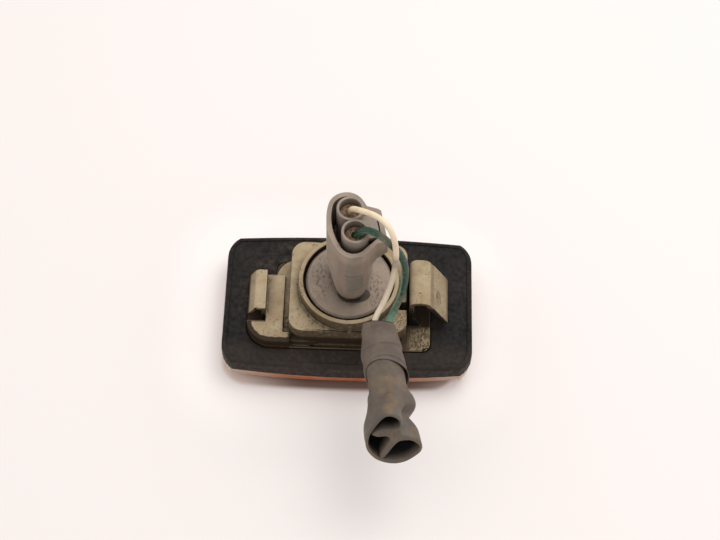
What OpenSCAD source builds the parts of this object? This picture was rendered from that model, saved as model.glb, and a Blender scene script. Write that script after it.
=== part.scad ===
// Side repeater lamp for a car's front wing, lying on its lens with its back upwards.
// Millimetres. X runs along the lamp towards the spring clip, Z comes out of its back.
// The origin is on the surface that the lens rests on, under the middle of the gasket.

/* [Gasket] */
// Length of the gasket, which is the length of the lamp
gasket_l = 80; // [72:0.5:90]
// Width of the gasket across its middle
gasket_w = 48.3; // [46:0.1:56]
// Radius of the four corners, seen from the back
corner_r = 8; // [6:0.5:8]
// How far the long sides bow out between their ends and their middle
side_bow = 1.6; // [0.8:0.1:2.4]
// Thickness of the web that the wing panel squeezes
web_t = 1.6; // [1.2:0.1:2.4]
// Thickness of the skirt that wraps the lens
skirt_t = 1.3; // [1:0.1:1.8]
// How far the skirt hangs below the back face at the middle of a long side
skirt_h = 6.4; // [5:0.1:8]
// How much shorter the skirt is at the two ends
skirt_rise = 1.6; // [0.5:0.1:2.4]
// Width of the raised lip round the edge
lip_w = 1.7; // [1.2:0.1:2.6]
// Height of the lip over the web
lip_h = 0.4; // [0.2:0.1:0.8]

/* [Lens] */
// Depth of the lens, from its crown to the rim that the housing is welded to
lens_h = 8.8; // [8:0.1:12]
// Wall of the lens
lens_wall = 2; // [1.6:0.1:2.6]
// Radius of the crown along the lamp
crown_r = 200; // [190:10:300]
// Radius of the lens's lower edge
lens_edge_r = 3.5; // [2.5:0.1:4.5]
// Step from the gasket's face to the lens's face
lens_step = 0.3; // [0.1:0.1:0.8]
// Width of one flute on the inside of the lens
flute_w = 3; // [2:0.5:5]
// Height of a flute
flute_h = 0.5; // [0.3:0.1:0.8]

/* [Housing] */
// Thickness of the flange under the gasket
flange_t = 1.6; // [1.2:0.1:2.4]
// General wall of the moulding
wall = 1.8; // [1.4:0.1:2.2]
// Length of the boss that carries the socket
boss_l = 37.2; // [35:0.1:40]
// Width of the boss
boss_w = 32.2; // [31.6:0.1:36]
// Height of the boss over the gasket
boss_h = 9.5; // [8:0.1:12]
// Corner radius of the boss
boss_r = 4.5; // [3:0.5:6]
// Middle of the boss and the socket, from the middle of the lamp
socket_y = 0.5; // [0:0.1:1]
// Height of the low part of the plinth over the gasket
plinth_low_h = 0.4; // [0.2:0.1:0.9]
// Height of the shoulder beside the boss
shoulder_h = 2.6; // [2:0.1:3.4]
// Height of the flat pad beside the hook
pad_h = 4.3; // [3.8:0.1:5.5]
// Width of the pad
pad_l = 5.7; // [4.5:0.1:6.5]
// Gap between the pad and the boss
pad_gap = 1.9; // [1.4:0.1:2.4]
// Radius of the plinth's big corner, in front of the hook
plinth_r = 8; // [5:0.5:9]
// Reach of the low plinth past the boss, under the clip
plinth_reach = 7.9; // [7:0.1:9]

/* [Socket collar] */
// Inner radius of the collar round the holder's disc
collar_r = 14.45; // [14.1:0.05:15]
// Wall of the collar
collar_wall = 1.4; // [1:0.1:1.6]
// Height of the collar over the boss
collar_h = 5; // [4:0.1:6]
// Radius of the bore that the holder's neck turns in
bore_r = 10.3; // [9.8:0.1:11]

/* [Hook and spring clip] */
// Height of the fixed hook over the gasket
hook_h = 8.2; // [7.4:0.1:10]
// Reach of the hook past the pad
hook_l = 6; // [5.5:0.1:6.5]
// Length of the hook across the lamp
hook_w = 14.2; // [10:0.1:15]
// Wall of the hook
hook_t = 1.4; // [1:0.1:1.6]
// Height of the spring clip over the gasket
clip_h = 15.8; // [14:0.1:18]
// Width of the spring clip
clip_w = 15.8; // [10:0.1:16.5]
// Wall of the spring clip
clip_t = 1.5; // [1.1:0.1:1.8]
// Gap between the boss and the clip's inner leg
clip_gap = 0.7; // [0.5:0.1:1.2]
// Reach of the clip's slanting leg, from the inner leg's face to its tip
clip_l = 12.7; // [11.5:0.1:13.5]
// Height of the clip's tip over the gasket, where the panel's edge sits
clip_tip_h = 3.4; // [2.5:0.1:5]

/* [Bulb holder] */
// Radius of the disc
disc_r = 13.6; // [13:0.1:13.9]
// Thickness of the disc
disc_t = 3; // [2:0.1:3.5]
// Turn of the holder in the collar, as locked
holder_turn = 12; // [8:1:16]
// Length of the shroud at its rim
shroud_l = 23; // [22.6:0.1:26]
// Width of the shroud at its rim
shroud_w = 13.8; // [13.6:0.1:16]
// Wall of the shroud
shroud_wall = 1.5; // [1.2:0.1:1.6]
// Height of the shroud over the disc
shroud_h = 33.8; // [32:0.1:36]
// Length of the shroud where it tapers down to the disc
foot_l = 16.6; // [15:0.1:18]
// Width of the shroud where it tapers down to the disc
foot_w = 10.4; // [9.6:0.1:11.5]
// Reach of the neck below the disc
neck_h = 6; // [5.6:0.1:6.4]
// Clearance between the neck and the bore
neck_fit = 0.3; // [0.2:0.05:0.5]
// Reach of a locking lug past the neck
lug_l = 1.8; // [1.2:0.1:2.2]
// Width of a locking lug
lug_w = 5; // [3.5:0.5:6]
// Thickness of the rubber ring under the disc
ring_t = 1.7; // [1.2:0.1:2.4]

/* [Bulb] */
// Diameter of the glass
bulb_d = 10; // [9.4:0.1:10.3]
// Length of the wedge bulb
bulb_l = 26.8; // [25.5:0.1:27.4]
// Width of the wedge base
wedge_w = 9.5; // [9:0.1:9.8]
// Thickness of the wedge base
wedge_t = 2.3; // [2:0.1:2.5]
// Height of the wedge base
wedge_h = 8; // [7.6:0.1:8.4]
// Length of lead that is folded back along the wedge base
lead_fold = 5; // [4:0.1:5.5]
// Diameter of the lead wires
lead_d = 0.5; // [0.4:0.05:0.6]

/* [Plug] */
// Distance between the two tubes of the plug
pitch = 8; // [7.9:0.1:8.4]
// Outer diameter of a tube
tube_d = 8.3; // [8:0.1:8.4]
// Bore of a tube, which takes the wire seal
tube_bore = 6.65; // [6.3:0.05:6.9]
// How far the tubes stand over the shroud's rim
tube_rise = 3.5; // [2.5:0.1:5]
// Middle of the tubes along and across the shroud
plug_x = 0.7; // [0.5:0.1:0.8]
plug_y = -0.35; // [-0.5:0.05:0]
// Depth of a wire seal below the end of its tube
seal_depth = 2.5; // [1.5:0.1:3.5]
// Width of the latch
latch_w = 8; // [6:0.1:9]
// Middle of the latch along the shroud
latch_y = -1.8; // [-2.2:0.1:-1]
// Reach of the latch box from the middle of the shroud
latch_l = 10; // [9.6:0.1:10.8]
// Width of a blade
blade_w = 2.8; // [2.3:0.1:3]
// Thickness of a blade
blade_t = 0.6; // [0.5:0.1:0.8]
// Height of the chamber round a terminal's box
chamber_h = 10; // [9.5:0.1:10.5]
// Length of a terminal's crimped barrel
barrel_l = 5; // [4.5:0.1:5.5]

/* [Wires and sleeve] */
// Diameter of the cream wire
white_d = 1.8; // [1.6:0.1:2]
// Diameter of the green wire
green_d = 2.2; // [1.9:0.1:2.4]
// Wall of the plastic sleeve
sleeve_t = 0.8; // [0.6:0.1:1]
// Thickness of the tape round the sleeve's neck
tape_t = 0.4; // [0.3:0.05:0.6]

/* [Hidden] */
$fn = 64;

tiny = 0.01;
fit = 0.1;
gasket_fit = 0.25;

// Heights, from the resting surface up
back_z = lens_h + flange_t + web_t;
boss_z = back_z + boss_h;
collar_z = boss_z + collar_h;
disc_z = boss_z + ring_t;
stem_z = disc_z + disc_t;
rim_z = stem_z + shroud_h;
tube_z = rim_z + tube_rise;
seam_z = back_z - skirt_h;

// Radii of the large arcs, each from a chord and its rise
function arc_r(half_chord, rise) = (half_chord * half_chord + rise * rise) / (2 * rise);
function sag(r, x) = r - sqrt(r * r - x * x);
bow_r = arc_r(gasket_l / 2, side_bow);
seam_r = arc_r(gasket_l / 2, skirt_rise);

function arc(c, r, from, to, steps = 8) =
    [for (i = [0:steps]) c + r * [cos(from + (to - from) * i / steps), sin(from + (to - from) * i / steps)]];
function mix(a, b, t) = a + (b - a) * t;

// A rectangle between two corners, with round corners of its own
module rounded(x0, y0, x1, y1, r) {
    translate([x0 + r, y0]) square([x1 - x0 - 2 * r, y1 - y0]);
    translate([x0, y0 + r]) square([x1 - x0, y1 - y0 - 2 * r]);
    for (x = [x0 + r, x1 - r], y = [y0 + r, y1 - r]) translate([x, y]) circle(r);
}

// Plan of the lamp: a rounded rectangle with bowed long sides
module lamp_outline(inset) {
    half_l = gasket_l / 2 - inset;
    half_w = gasket_w / 2 - inset;
    intersection() {
        rounded(-half_l, -half_w, half_l, half_w, corner_r - inset);
        translate([0, half_w - bow_r]) circle(bow_r, $fn = 360);
        translate([0, bow_r - half_w]) circle(bow_r, $fn = 360);
    }
}

// Everything above the seam between the lens and the gasket's skirt, which dips in the middle
module above_seam(clear = 0) {
    translate([0, gasket_w, seam_z + clear + seam_r]) rotate([90, 0, 0])
        cylinder(r = seam_r, h = 2 * gasket_w, $fn = 360);
}

// Lens

// The lens's outer form, or its inner one when inset and lifted: a crowned tray with round edges
module lens_form(inset, lift, top) {
    half_l = gasket_l / 2 - inset;
    half_w = gasket_w / 2 - inset;
    wheel_r = crown_r - lift;
    edge = max(lens_edge_r - lift, 0.8);
    end_x = half_l - edge;
    end_z = lift + sag(crown_r, end_x) + edge;
    intersection() {
        linear_extrude(top) lamp_outline(inset);
        translate([0, 0, crown_r]) rotate([90, 0, 0]) rotate_extrude($fn = 360) {
            translate([wheel_r - 20, -half_w]) square([20 - edge, 2 * half_w]);
            translate([wheel_r - 20, edge - half_w]) square([20, 2 * (half_w - edge)]);
            for (side = [-1, 1]) translate([wheel_r - edge, side * (half_w - edge)]) circle(edge, $fn = 32);
        }
        translate([0, gasket_w, 0]) rotate([90, 0, 0]) linear_extrude(2 * gasket_w) {
            translate([-end_x, -1]) square([2 * end_x, top + 2]);
            translate([-half_l, end_z]) square([2 * half_l, top + 1 - end_z]);
            for (side = [-1, 1]) translate([side * end_x, end_z]) circle(edge, $fn = 32);
        }
    }
}

lens_inner = skirt_t + fit + lens_wall;

// Round flutes side by side on the lens's inner face, as long as the lens is wide
module flutes() {
    r = (flute_w * flute_w / 4 + flute_h * flute_h) / (2 * flute_h);
    count = floor((gasket_l / 2 - lens_inner - lens_edge_r) / flute_w);
    for (i = [-count:count])
        translate([i * flute_w, gasket_w / 2, sag(crown_r, i * flute_w) + lens_wall + flute_h - r])
            rotate([90, 0, 0]) cylinder(r = r, h = gasket_w);
}

module lens() {
    color("#c8641a") difference() {
        union() {
            difference() {
                lens_form(lens_step, 0, lens_h);
                above_seam(-fit);
            }
            lens_form(skirt_t + fit, 0.5, lens_h);
        }
        difference() {
            lens_form(lens_inner, lens_wall, lens_h + 1);
            flutes();
        }
    }
}

// Housing: flange, stepped plinth, boss with the socket's collar, fixed hook and spring clip

boss_x0 = -boss_l / 2;
boss_x1 = boss_l / 2;
boss_y0 = socket_y - boss_w / 2;
boss_y1 = socket_y + boss_w / 2;
pad_x1 = boss_x0 - pad_gap;
pad_x0 = pad_x1 - pad_l;
hook_x0 = pad_x0 - hook_l;
hook_y1 = 6.6;
hook_y0 = hook_y1 - hook_w;
plinth_y0 = boss_y0 - 1.6;
plinth_y1 = boss_y1 - 2.8;
shoulder_x0 = boss_x0 - 4.9;
slot_y0 = hook_y0 - 2.1;

// Part of the plinth that carries the hook and the pad, with one large corner
module plinth_lobe(grow) {
    far_y = hook_y1 + 0.3 + grow;
    difference() {
        rounded(hook_x0 - grow, plinth_y0 - grow, boss_x0 + 12, far_y + 20, plinth_r);
        translate([hook_x0 - 1 - grow, far_y]) square([60, 40]);
        translate([boss_x0 + 1, plinth_y0 - 1 - grow]) square([40, 60]);
    }
}

// The plinth passes through the gasket's opening, which is the same shape grown by the gap
module plinth_outline(grow) {
    rounded(shoulder_x0 - grow, plinth_y0 - grow, boss_x1 + plinth_reach + grow, plinth_y1 + grow, 3);
    rounded(boss_x0 - grow, boss_y0 - grow, boss_x1 + grow, boss_y1 + grow, boss_r);
    plinth_lobe(grow);
}

module boss_outline(inset) {
    rounded(boss_x0 + inset, boss_y0 + inset, boss_x1 - inset, boss_y1 - inset, boss_r - inset);
}

// Section of the hook: a leg on the pad's edge, a flat top and a slanting outer lip
hook_lip_h = 3;
hook_section = concat(
    [[0, 0], [0, hook_h]],
    arc([0.9 - 0.57 * hook_l, hook_h - 1.4], 1.4, 90, 155, 4),
    [[-hook_l, hook_lip_h + 0.5], [-hook_l + 0.4, hook_lip_h], [-hook_l + hook_t, hook_lip_h + 0.3]],
    [[0.3 - 0.57 * hook_l, hook_h - hook_t], [-hook_t, hook_h - hook_t], [-hook_t, 0]]);

module hook() {
    translate([pad_x0, hook_y1, back_z]) rotate([90, 0, 0]) difference() {
        linear_extrude(hook_w) polygon(hook_section);
        // the near end of the top falls away to the lip
        translate([-hook_l - 1, hook_h, hook_w - 2.4]) rotate([-35, 0, 0]) cube([hook_l + 2, 3, 5]);
    }
}

// Section of the clip: inner leg, round crown, and a slanting leg down to the tip
crown_in_r = 2.6;
crown_out_r = 3.4;
clip_x = boss_x1 + clip_gap;
crown_in = [crown_in_r, clip_h - crown_in_r];
crown_out = [crown_in_r + 1.2, clip_h - crown_out_r];
slant = 32;
slant_from = crown_out + crown_out_r * [cos(slant), sin(slant)];
slant_in = crown_out + (crown_out_r - clip_t) * [cos(slant), sin(slant)];
tip = [clip_l, clip_tip_h];
clip_section = concat(
    [[0, -plinth_low_h], [0, clip_h - crown_in_r]],
    arc(crown_in, crown_in_r, 180, 90, 6),
    arc(crown_out, crown_out_r, 90, slant, 8),
    [slant_from + [0.1, -0.5], slant_from + [0.55, -1.1], slant_from + [1.1, -1.7]],
    [tip, tip + [-0.5, -0.5], tip + [-clip_t, 0.3]],
    [slant_in + [0.3, -0.9]],
    arc(crown_out, crown_out_r - clip_t, slant, 90, 6),
    arc(crown_in, crown_in_r - clip_t, 90, 180, 4),
    [[clip_t, 2.2], [clip_t + 1, 0.6], [clip_t + 1, -plinth_low_h]]);

module spring_clip() {
    clip_y1 = hook_y1 + 1;
    translate([clip_x, clip_y1, back_z]) rotate([90, 0, 0]) linear_extrude(clip_w) polygon(clip_section);
    // gussets that stiffen the foot of the inner leg at its two ends
    for (y = [clip_y1, clip_y1 - clip_w + 1.2])
        translate([clip_x + clip_t - tiny, y, back_z]) rotate([90, 0, 0])
            linear_extrude(1.2) polygon([[0, 0], [2.4, 0], [2.4, 1.2], [0.6, 4.6], [0, 4.6]]);
}

module socket_axis() {
    translate([0, socket_y, 0]) children();
}

lug_angles = [20, 140, 260];
neck_r = bore_r - neck_fit;

// What the holder's lugs pass through before the holder is turned to lock
module lug_slots() {
    socket_axis() for (a = lug_angles) rotate(a + 55)
        intersection() {
            translate([0, 0, boss_z - wall - 1]) cylinder(r = neck_r + lug_l + neck_fit, h = wall + 2);
            translate([0, -lug_w / 2 - neck_fit, boss_z - wall - 1])
                cube([20, lug_w + 2 * neck_fit, wall + 2]);
        }
}

module housing() {
    flange_z = lens_h;
    inner = lens_inner + fit;
    color("#b9ae94") difference() {
        union() {
            translate([0, 0, flange_z]) linear_extrude(flange_t) lamp_outline(skirt_t + fit);
            // rib that centres the lens
            difference() {
                translate([0, 0, flange_z - 2]) linear_extrude(2 + tiny) lamp_outline(inner);
                translate([0, 0, flange_z - 3]) linear_extrude(4) lamp_outline(inner + 1.4);
            }
            translate([0, 0, flange_z]) linear_extrude(back_z + plinth_low_h - flange_z)
                plinth_outline(0);
            // shoulder at the far side of the pad, which runs on as the floor of the groove beside it
            translate([0, 0, back_z]) linear_extrude(shoulder_h)
                rounded(shoulder_x0, plinth_y0 + 1, boss_x0 + 14, plinth_y1, plinth_r - 0.5);
            // pad beside the hook, and the raised corner in front of it
            translate([0, 0, back_z]) linear_extrude(pad_h) difference() {
                plinth_lobe(0);
                translate([pad_x1, plinth_y0 - 1]) square([40, 60]);
                translate([hook_x0 - 1, slot_y0]) square([pad_x0 + 1 - hook_x0, 40]);
            }
            // the raised corner runs on to the front of the boss
            translate([pad_x1 - 1, plinth_y0, back_z]) cube([pad_gap + 1.4, 3.6, pad_h]);
            translate([0, 0, back_z]) linear_extrude(boss_h) boss_outline(0);
            socket_axis() translate([0, 0, boss_z - tiny])
                cylinder(r = collar_r + collar_wall, h = collar_h + tiny, $fn = 96);
            hook();
            spring_clip();
        }
        // inside of the boss, open towards the lens
        translate([0, 0, flange_z - 3]) linear_extrude(boss_z - wall - flange_z + 3) boss_outline(wall);
        // core under the pad and its corner
        translate([0, 0, flange_z - 3]) linear_extrude(back_z + pad_h - wall - flange_z + 3)
            rounded(pad_x0 + 1.2, plinth_y0 + wall, pad_x1 - 1.2, hook_y1 - wall, 1.5);
        socket_axis() {
            translate([0, 0, boss_z - wall - 1]) cylinder(r = bore_r, h = wall + 2, $fn = 96);
            translate([0, 0, boss_z]) cylinder(r = collar_r, h = collar_h + 1, $fn = 96);
        }
        lug_slots();
        // drain notch in the side of the boss, beside the clip
        translate([boss_x1 - 2.6, -7.2, back_z + 3.2]) cube([4, 2.8, boss_h]);
    }
}

// Gasket: a rubber tray over the flange and round the lens

module gasket() {
    edge = 1.2;
    color("#2b2a28") difference() {
        intersection() {
            hull() {
                translate([0, 0, seam_z - 1]) linear_extrude(tiny) lamp_outline(0, $fn = 32);
                translate([0, 0, back_z + lip_h - edge]) linear_extrude(tiny) lamp_outline(0, $fn = 32);
                translate([0, 0, back_z + lip_h - 0.35 * edge]) linear_extrude(tiny)
                    lamp_outline(0.25 * edge, $fn = 32);
                translate([0, 0, back_z + lip_h - tiny]) linear_extrude(tiny)
                    lamp_outline(0.8 * edge, $fn = 32);
            }
            above_seam();
        }
        translate([0, 0, seam_z - 2]) linear_extrude(back_z - web_t - seam_z + 2) lamp_outline(skirt_t);
        translate([0, 0, back_z]) linear_extrude(lip_h + 1) lamp_outline(lip_w);
        translate([0, 0, back_z - web_t - 1]) linear_extrude(web_t + 2) plinth_outline(gasket_fit);
    }
}

// Bulb holder

module holder_place() {
    socket_axis() rotate(holder_turn) children();
}

// An oval of four arcs: flat sides of a large radius, and two round ends that meet them
side_r = 20;
module oval(half_l, half_w) {
    side_c = side_r - half_w;
    end_r = (side_r * side_r - side_c * side_c - half_l * half_l) / (2 * (side_r - half_l));
    end_y = half_l - end_r;
    meet_y = side_r * end_y / (side_r - end_r);
    intersection() {
        translate([side_c, 0]) circle(side_r, $fn = 96);
        translate([-side_c, 0]) circle(side_r, $fn = 96);
        translate([-half_w, -meet_y]) square([2 * half_w, 2 * meet_y]);
    }
    for (side = [-1, 1]) translate([0, side * end_y]) circle(end_r);
}

taper_from = stem_z + 2.4;
taper_to = stem_z + 14;
floor_z = stem_z + 11.6;
latch_z = rim_z - 6;
half_l = shroud_l / 2;
half_w = shroud_w / 2;
box_w = latch_w + 0.8;

// Plan of the latch box on the shroud's side, whose near wall slants to the shroud's end
module latch_box(inset) {
    side = box_w / 2 + shroud_wall - inset;
    polygon([[0, latch_y + side + 1.6], [half_w - 1, latch_y + side + 1.6 - inset],
        [latch_l - inset - 0.8, latch_y + side], [latch_l - inset, latch_y + side - 0.8],
        [latch_l - inset, latch_y - side], [half_w, latch_y - side], [3, 1.2 + inset - half_l],
        [0, 1.2 + inset - half_l]]);
}

module holder_stem() {
    // taper from the foot to the full section
    hull() {
        translate([0, 0, taper_from]) linear_extrude(tiny) oval(foot_l / 2, foot_w / 2, $fn = 32);
        translate([0, 0, taper_to - tiny]) linear_extrude(tiny) oval(half_l, half_w, $fn = 32);
    }
    translate([0, 0, taper_to - tiny]) linear_extrude(rim_z - taper_to + tiny) oval(half_l, half_w);
    translate([0, 0, stem_z - tiny]) linear_extrude(taper_from - stem_z + 1) {
        oval(foot_l / 2 - 1, foot_w / 2 - 1);
        translate([-2.3, -foot_l / 2 + 0.4]) square([4.6, foot_l - 0.8]);
    }
    // latch box, with a slanting underside
    intersection() {
        translate([0, 0, latch_z - 5]) linear_extrude(rim_z - latch_z + 5) latch_box(0);
        translate([0, half_l, 0]) rotate([90, 0, 0]) linear_extrude(shroud_l)
            polygon([[0, latch_z - 4.5], [half_w - 1, latch_z - 4], [latch_l, latch_z],
                [latch_l, rim_z], [0, rim_z]]);
    }
}

wedge_top = stem_z + 6;
bulb_bottom = wedge_top - bulb_l;
wedge_z = wedge_top - wedge_h;
pinch_gap = 0.15;
leaf_t = 0.5;
leaf_x = wedge_t / 2 + lead_d + 0.07;

// Side view of a contact: a leaf against the wedge base, a step over it, and the blade
module contact_section(side, grow) {
    step_z = wedge_top + 1.3;
    a = side * leaf_x;
    b = side * (leaf_x + leaf_t);
    left = min(a, b, plug_x - blade_t / 2);
    right = max(a, b, plug_x + blade_t / 2);
    translate([min(a, b) - grow, wedge_z + 1 - grow])
        square([leaf_t + 2 * grow, step_z - wedge_z - 0.5 + grow]);
    translate([left - grow, step_z - grow]) square([right - left + 2 * grow, leaf_t + 2 * grow]);
    translate([plug_x - blade_t / 2 - grow, step_z]) square([blade_t + 2 * grow, floor_z + 8.5 - step_z]);
}

module contact_body(side, grow) {
    translate([0, plug_y - side * pitch / 2 + blade_w / 2 + grow, 0]) rotate([90, 0, 0])
        linear_extrude(blade_w + 2 * grow) contact_section(side, grow);
}

module bulb_holder() {
    color("#8d8880") holder_place() difference() {
        union() {
            translate([0, 0, disc_z]) cylinder(r = disc_r, h = disc_t - 0.7, $fn = 96);
            translate([0, 0, stem_z - 0.7]) cylinder(r1 = disc_r, r2 = disc_r - 0.7, h = 0.7, $fn = 96);
            translate([0, 0, disc_z - neck_h]) cylinder(r = neck_r, h = neck_h + tiny, $fn = 96);
            for (a = lug_angles) rotate(a) intersection() {
                translate([0, 0, disc_z - neck_h - 1]) rotate(180) cylinder(r = neck_r + lug_l, h = neck_h);
                translate([neck_r - 1, -lug_w / 2, disc_z - neck_h + 0.4])
                    cube([lug_l + 2, lug_w, neck_h - 0.4 - ring_t - wall - neck_fit]);
            }
            holder_stem();
        }
        // cavity for the plug, and for the latch in its box
        translate([0, 0, floor_z]) linear_extrude(rim_z) oval(half_l - shroud_wall, half_w - shroud_wall);
        translate([0, 0, latch_z + 0.6]) linear_extrude(rim_z) latch_box(shroud_wall);
        // room for the plug's round tubes, which come close to the oval's wall
        for (side = [-1, 1]) translate([plug_x, plug_y + side * pitch / 2, crimp_z - 2 - fit])
            cylinder(d = tube_d + 2 * fit, h = rim_z - crimp_z + 3, $fn = 64);
        // window that the latch's catch springs into
        translate([half_w, latch_y - 2.2, rim_z - 4.2]) cube([10, 4.4, 2.2]);
        // recessed panel on the near end
        translate([-2.6, -half_l - 1, stem_z + 10]) cube([5.2, 1.45, 12]);
        translate([-2.6, -half_l - 1, stem_z + 24]) cube([5.2, 1.25, 0.8]);
        // flat on the near end
        translate([-6, -half_l - 1, stem_z + 2]) cube([12, 1.2, shroud_h]);
        // pocket for the bulb and its wedge base
        translate([0, 0, disc_z - neck_h - 1])
            cylinder(d = bulb_d + 1.2, h = wedge_z - disc_z + neck_h + 1.6);
        translate([-wedge_t / 2 - pinch_gap, -wedge_w / 2 - pinch_gap, wedge_z - 1])
            cube([wedge_t + 2 * pinch_gap, wedge_w + 2 * pinch_gap, wedge_top - wedge_z + 2.2]);
        for (side = [-1, 1]) {
            contact_body(side, fit);
            // room for the lead between the wedge base and the leaf
            translate([min(0, side * leaf_x), plug_y - side * pitch / 2 - blade_w / 2 - fit, wedge_z])
                cube([leaf_x, blade_w + 2 * fit, wedge_top - wedge_z + 1.2]);
            translate([min(0, side * leaf_x), -side * lead_y - lead_d / 2 - fit, wedge_z])
                cube([leaf_x, lead_d + 2 * fit, wedge_top - wedge_z + 1.2]);
        }
        // coring that keeps the neck's wall even
        translate([0, 0, disc_z - neck_h - 1]) difference() {
            cylinder(r = neck_r - 1.6, h = neck_h, $fn = 96);
            translate([0, 0, -1]) cylinder(d = bulb_d + 4, h = neck_h + 2);
        }
    }
}

module holder_seal() {
    color("#1d1c1b") socket_axis() translate([0, 0, boss_z]) rotate_extrude($fn = 96) {
        translate([neck_r + 0.6, 0]) square([disc_r - neck_r - 1.5, ring_t]);
        translate([disc_r - 0.9, ring_t / 2]) circle(ring_t / 2, $fn = 24);
    }
}

// Bulb, a wedge-base capsule lamp

lead_y = wedge_w / 2 - 1.15;
lead_turn = 2.4;
filament_z = bulb_bottom + 12;

// A lead runs from the filament through the pinch, out at its end and back along its face
module lead(side) {
    face_x = -side * (wedge_t / 2 + lead_d / 2 + 0.02);
    y = side * lead_y;
    wire([[0, side * lead_turn, filament_z], [0, side * lead_turn, wedge_z - 3],
        [0, side * lead_turn, wedge_z - 1], [0, y, wedge_z + 2], [0, y, wedge_top - 1],
        [0, y, wedge_top + 0.3], [face_x / 2, y, wedge_top + 0.8], [face_x, y, wedge_top + 0.3],
        [face_x, y, wedge_top - 1], [face_x, y, wedge_top - lead_fold]], lead_d, 18);
}

module bulb_lead_left() {
    color("#a9a28f") holder_place() lead(1);
}

module bulb_lead_right() {
    color("#a9a28f") holder_place() lead(-1);
}

module bulb() {
    glass_r = bulb_d / 2;
    glass_t = 0.6;
    color("#cfd6d4") holder_place() difference() {
        union() {
            translate([0, 0, bulb_bottom]) rotate_extrude() difference() {
                union() {
                    translate([0, glass_r]) intersection() {
                        circle(glass_r);
                        translate([0, -glass_r]) square([glass_r, glass_r]);
                    }
                    translate([0, glass_r]) square([glass_r, wedge_z - bulb_bottom - glass_r - 1]);
                    translate([0, wedge_z - bulb_bottom - 1.5]) square([glass_r - 1.2, 2]);
                }
                translate([0, glass_r]) intersection() {
                    circle(glass_r - glass_t);
                    translate([0, -glass_r]) square([glass_r, glass_r]);
                }
                translate([0, glass_r - tiny])
                    square([glass_r - glass_t, wedge_z - bulb_bottom - glass_r - 2.4]);
            }
            translate([-wedge_t / 2, -wedge_w / 2, wedge_z - 0.2])
                cube([wedge_t, wedge_w, wedge_top - wedge_z + 0.2]);
        }
        // each lead has its own channel through the pinch
        channel_w = lead_y - lead_turn + 0.8;
        for (side = [-1, 1])
            translate([-lead_d / 2 - 0.05, (side * (lead_turn + lead_y) - channel_w) / 2, wedge_z - 2])
                cube([lead_d + 0.1, channel_w, wedge_top - wedge_z + 3]);
    }
}

// A helix of fine wire between the two leads
module bulb_filament() {
    turns = 7;
    steps = 8;
    sides = 5;
    coil_r = 0.4;
    wire_r = 0.12;
    span = 2 * lead_turn - lead_d - 2 * wire_r - 0.1;
    rings = turns * steps;
    points = [for (i = [0:rings], k = [0:sides - 1])
        let (a = 360 * i / steps, r = coil_r + wire_r * cos(360 * k / sides))
            [r * cos(a), span * (i / rings - 0.5) + wire_r * sin(360 * k / sides), r * sin(a)]];
    color("#6d6a66") holder_place() translate([0, 0, filament_z])
        polyhedron(points, tube_faces(rings, sides));
}

module contact_left() {
    color("#b98d46") holder_place() contact_body(-1, 0);
}

module contact_right() {
    color("#b98d46") holder_place() contact_body(1, 0);
}

// Plug

nose_z = floor_z + 0.5;
groove_z = floor_z + 5;
groove_h = 3.4;
crimp_z = floor_z + chamber_h;
seal_z = tube_z - seal_depth;
seal_h = 5.8;
nose_gap = 0.9;

function tube_at(side) = [plug_x, plug_y + side * pitch / 2];

module plug_housing() {
    nose_l = half_l - shroud_wall - nose_gap;
    nose_w = half_w - shroud_wall - nose_gap;
    color("#837f7b") holder_place() difference() {
        union() {
            translate([0, 0, nose_z]) linear_extrude(crimp_z - nose_z) oval(nose_l, nose_w);
            translate([0, 0, crimp_z - 2]) linear_extrude(tube_z - crimp_z + 2)
                for (side = [-1, 1]) translate(tube_at(side)) circle(d = tube_d, $fn = 64);
            translate([plug_x - 2.4, plug_y - pitch / 2, crimp_z - 2])
                cube([4.8, pitch, rim_z + 1 - crimp_z + 2]);
            // latch plate over the tubes' side, its lever and its catch
            translate([plug_x + 1.5, latch_y - latch_w / 2, rim_z - 1.4])
                cube([latch_l - shroud_wall - 0.4 - plug_x - 1.5, latch_w, 1.8]);
            translate([latch_l - shroud_wall - 1.6, latch_y - latch_w / 2, latch_z + 1.2])
                cube([1.2, latch_w, rim_z - latch_z - 1.2]);
            translate([latch_l - shroud_wall - 0.8, latch_y - 2, rim_z - 4])
                cube([1.2, 4, 1.8]);
        }
        for (side = [-1, 1]) translate(tube_at(side)) {
            // chamber for the terminal's box, its crimp, and the bore for the wire seal
            translate([-1.4, -2.1, nose_z - 1]) cube([2.8, 4.2, crimp_z - nose_z]);
            translate([0, 0, crimp_z - 2]) cylinder(d = 4, h = tube_z - crimp_z);
            translate([0, 0, seal_z - seal_h - 0.2]) cylinder(d = tube_bore, h = tube_z);
        }
        // groove for the ring seal
        translate([0, 0, groove_z]) linear_extrude(groove_h) difference() {
            oval(half_l, half_w);
            oval(nose_l - 0.8, nose_w - 0.8);
        }
    }
}

module plug_seal() {
    color("#7a3b2a") holder_place() translate([0, 0, groove_z + fit]) linear_extrude(groove_h - 2 * fit)
        difference() {
            oval(half_l - shroud_wall - 0.05, half_w - shroud_wall - 0.05);
            oval(half_l - shroud_wall - nose_gap - 0.75, half_w - shroud_wall - nose_gap - 0.75);
        }
}

// A wire seal is a ribbed rubber grommet on the wire, in the bore of its tube
module wire_seal(side, wire_d) {
    rib = 0.35;
    body_r = tube_bore / 2 - 0.05 - rib;
    color("#8a6f56") holder_place() translate(tube_at(side)) translate([0, 0, seal_z - seal_h])
        rotate_extrude() difference() {
            union() {
                square([body_r, seal_h]);
                for (z = [0.6, 2.3, 4]) translate([0, z]) square([body_r + rib, 0.9]);
            }
            translate([0, -1]) square([wire_d / 2 + 0.1, seal_h + 2]);
        }
}

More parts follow.
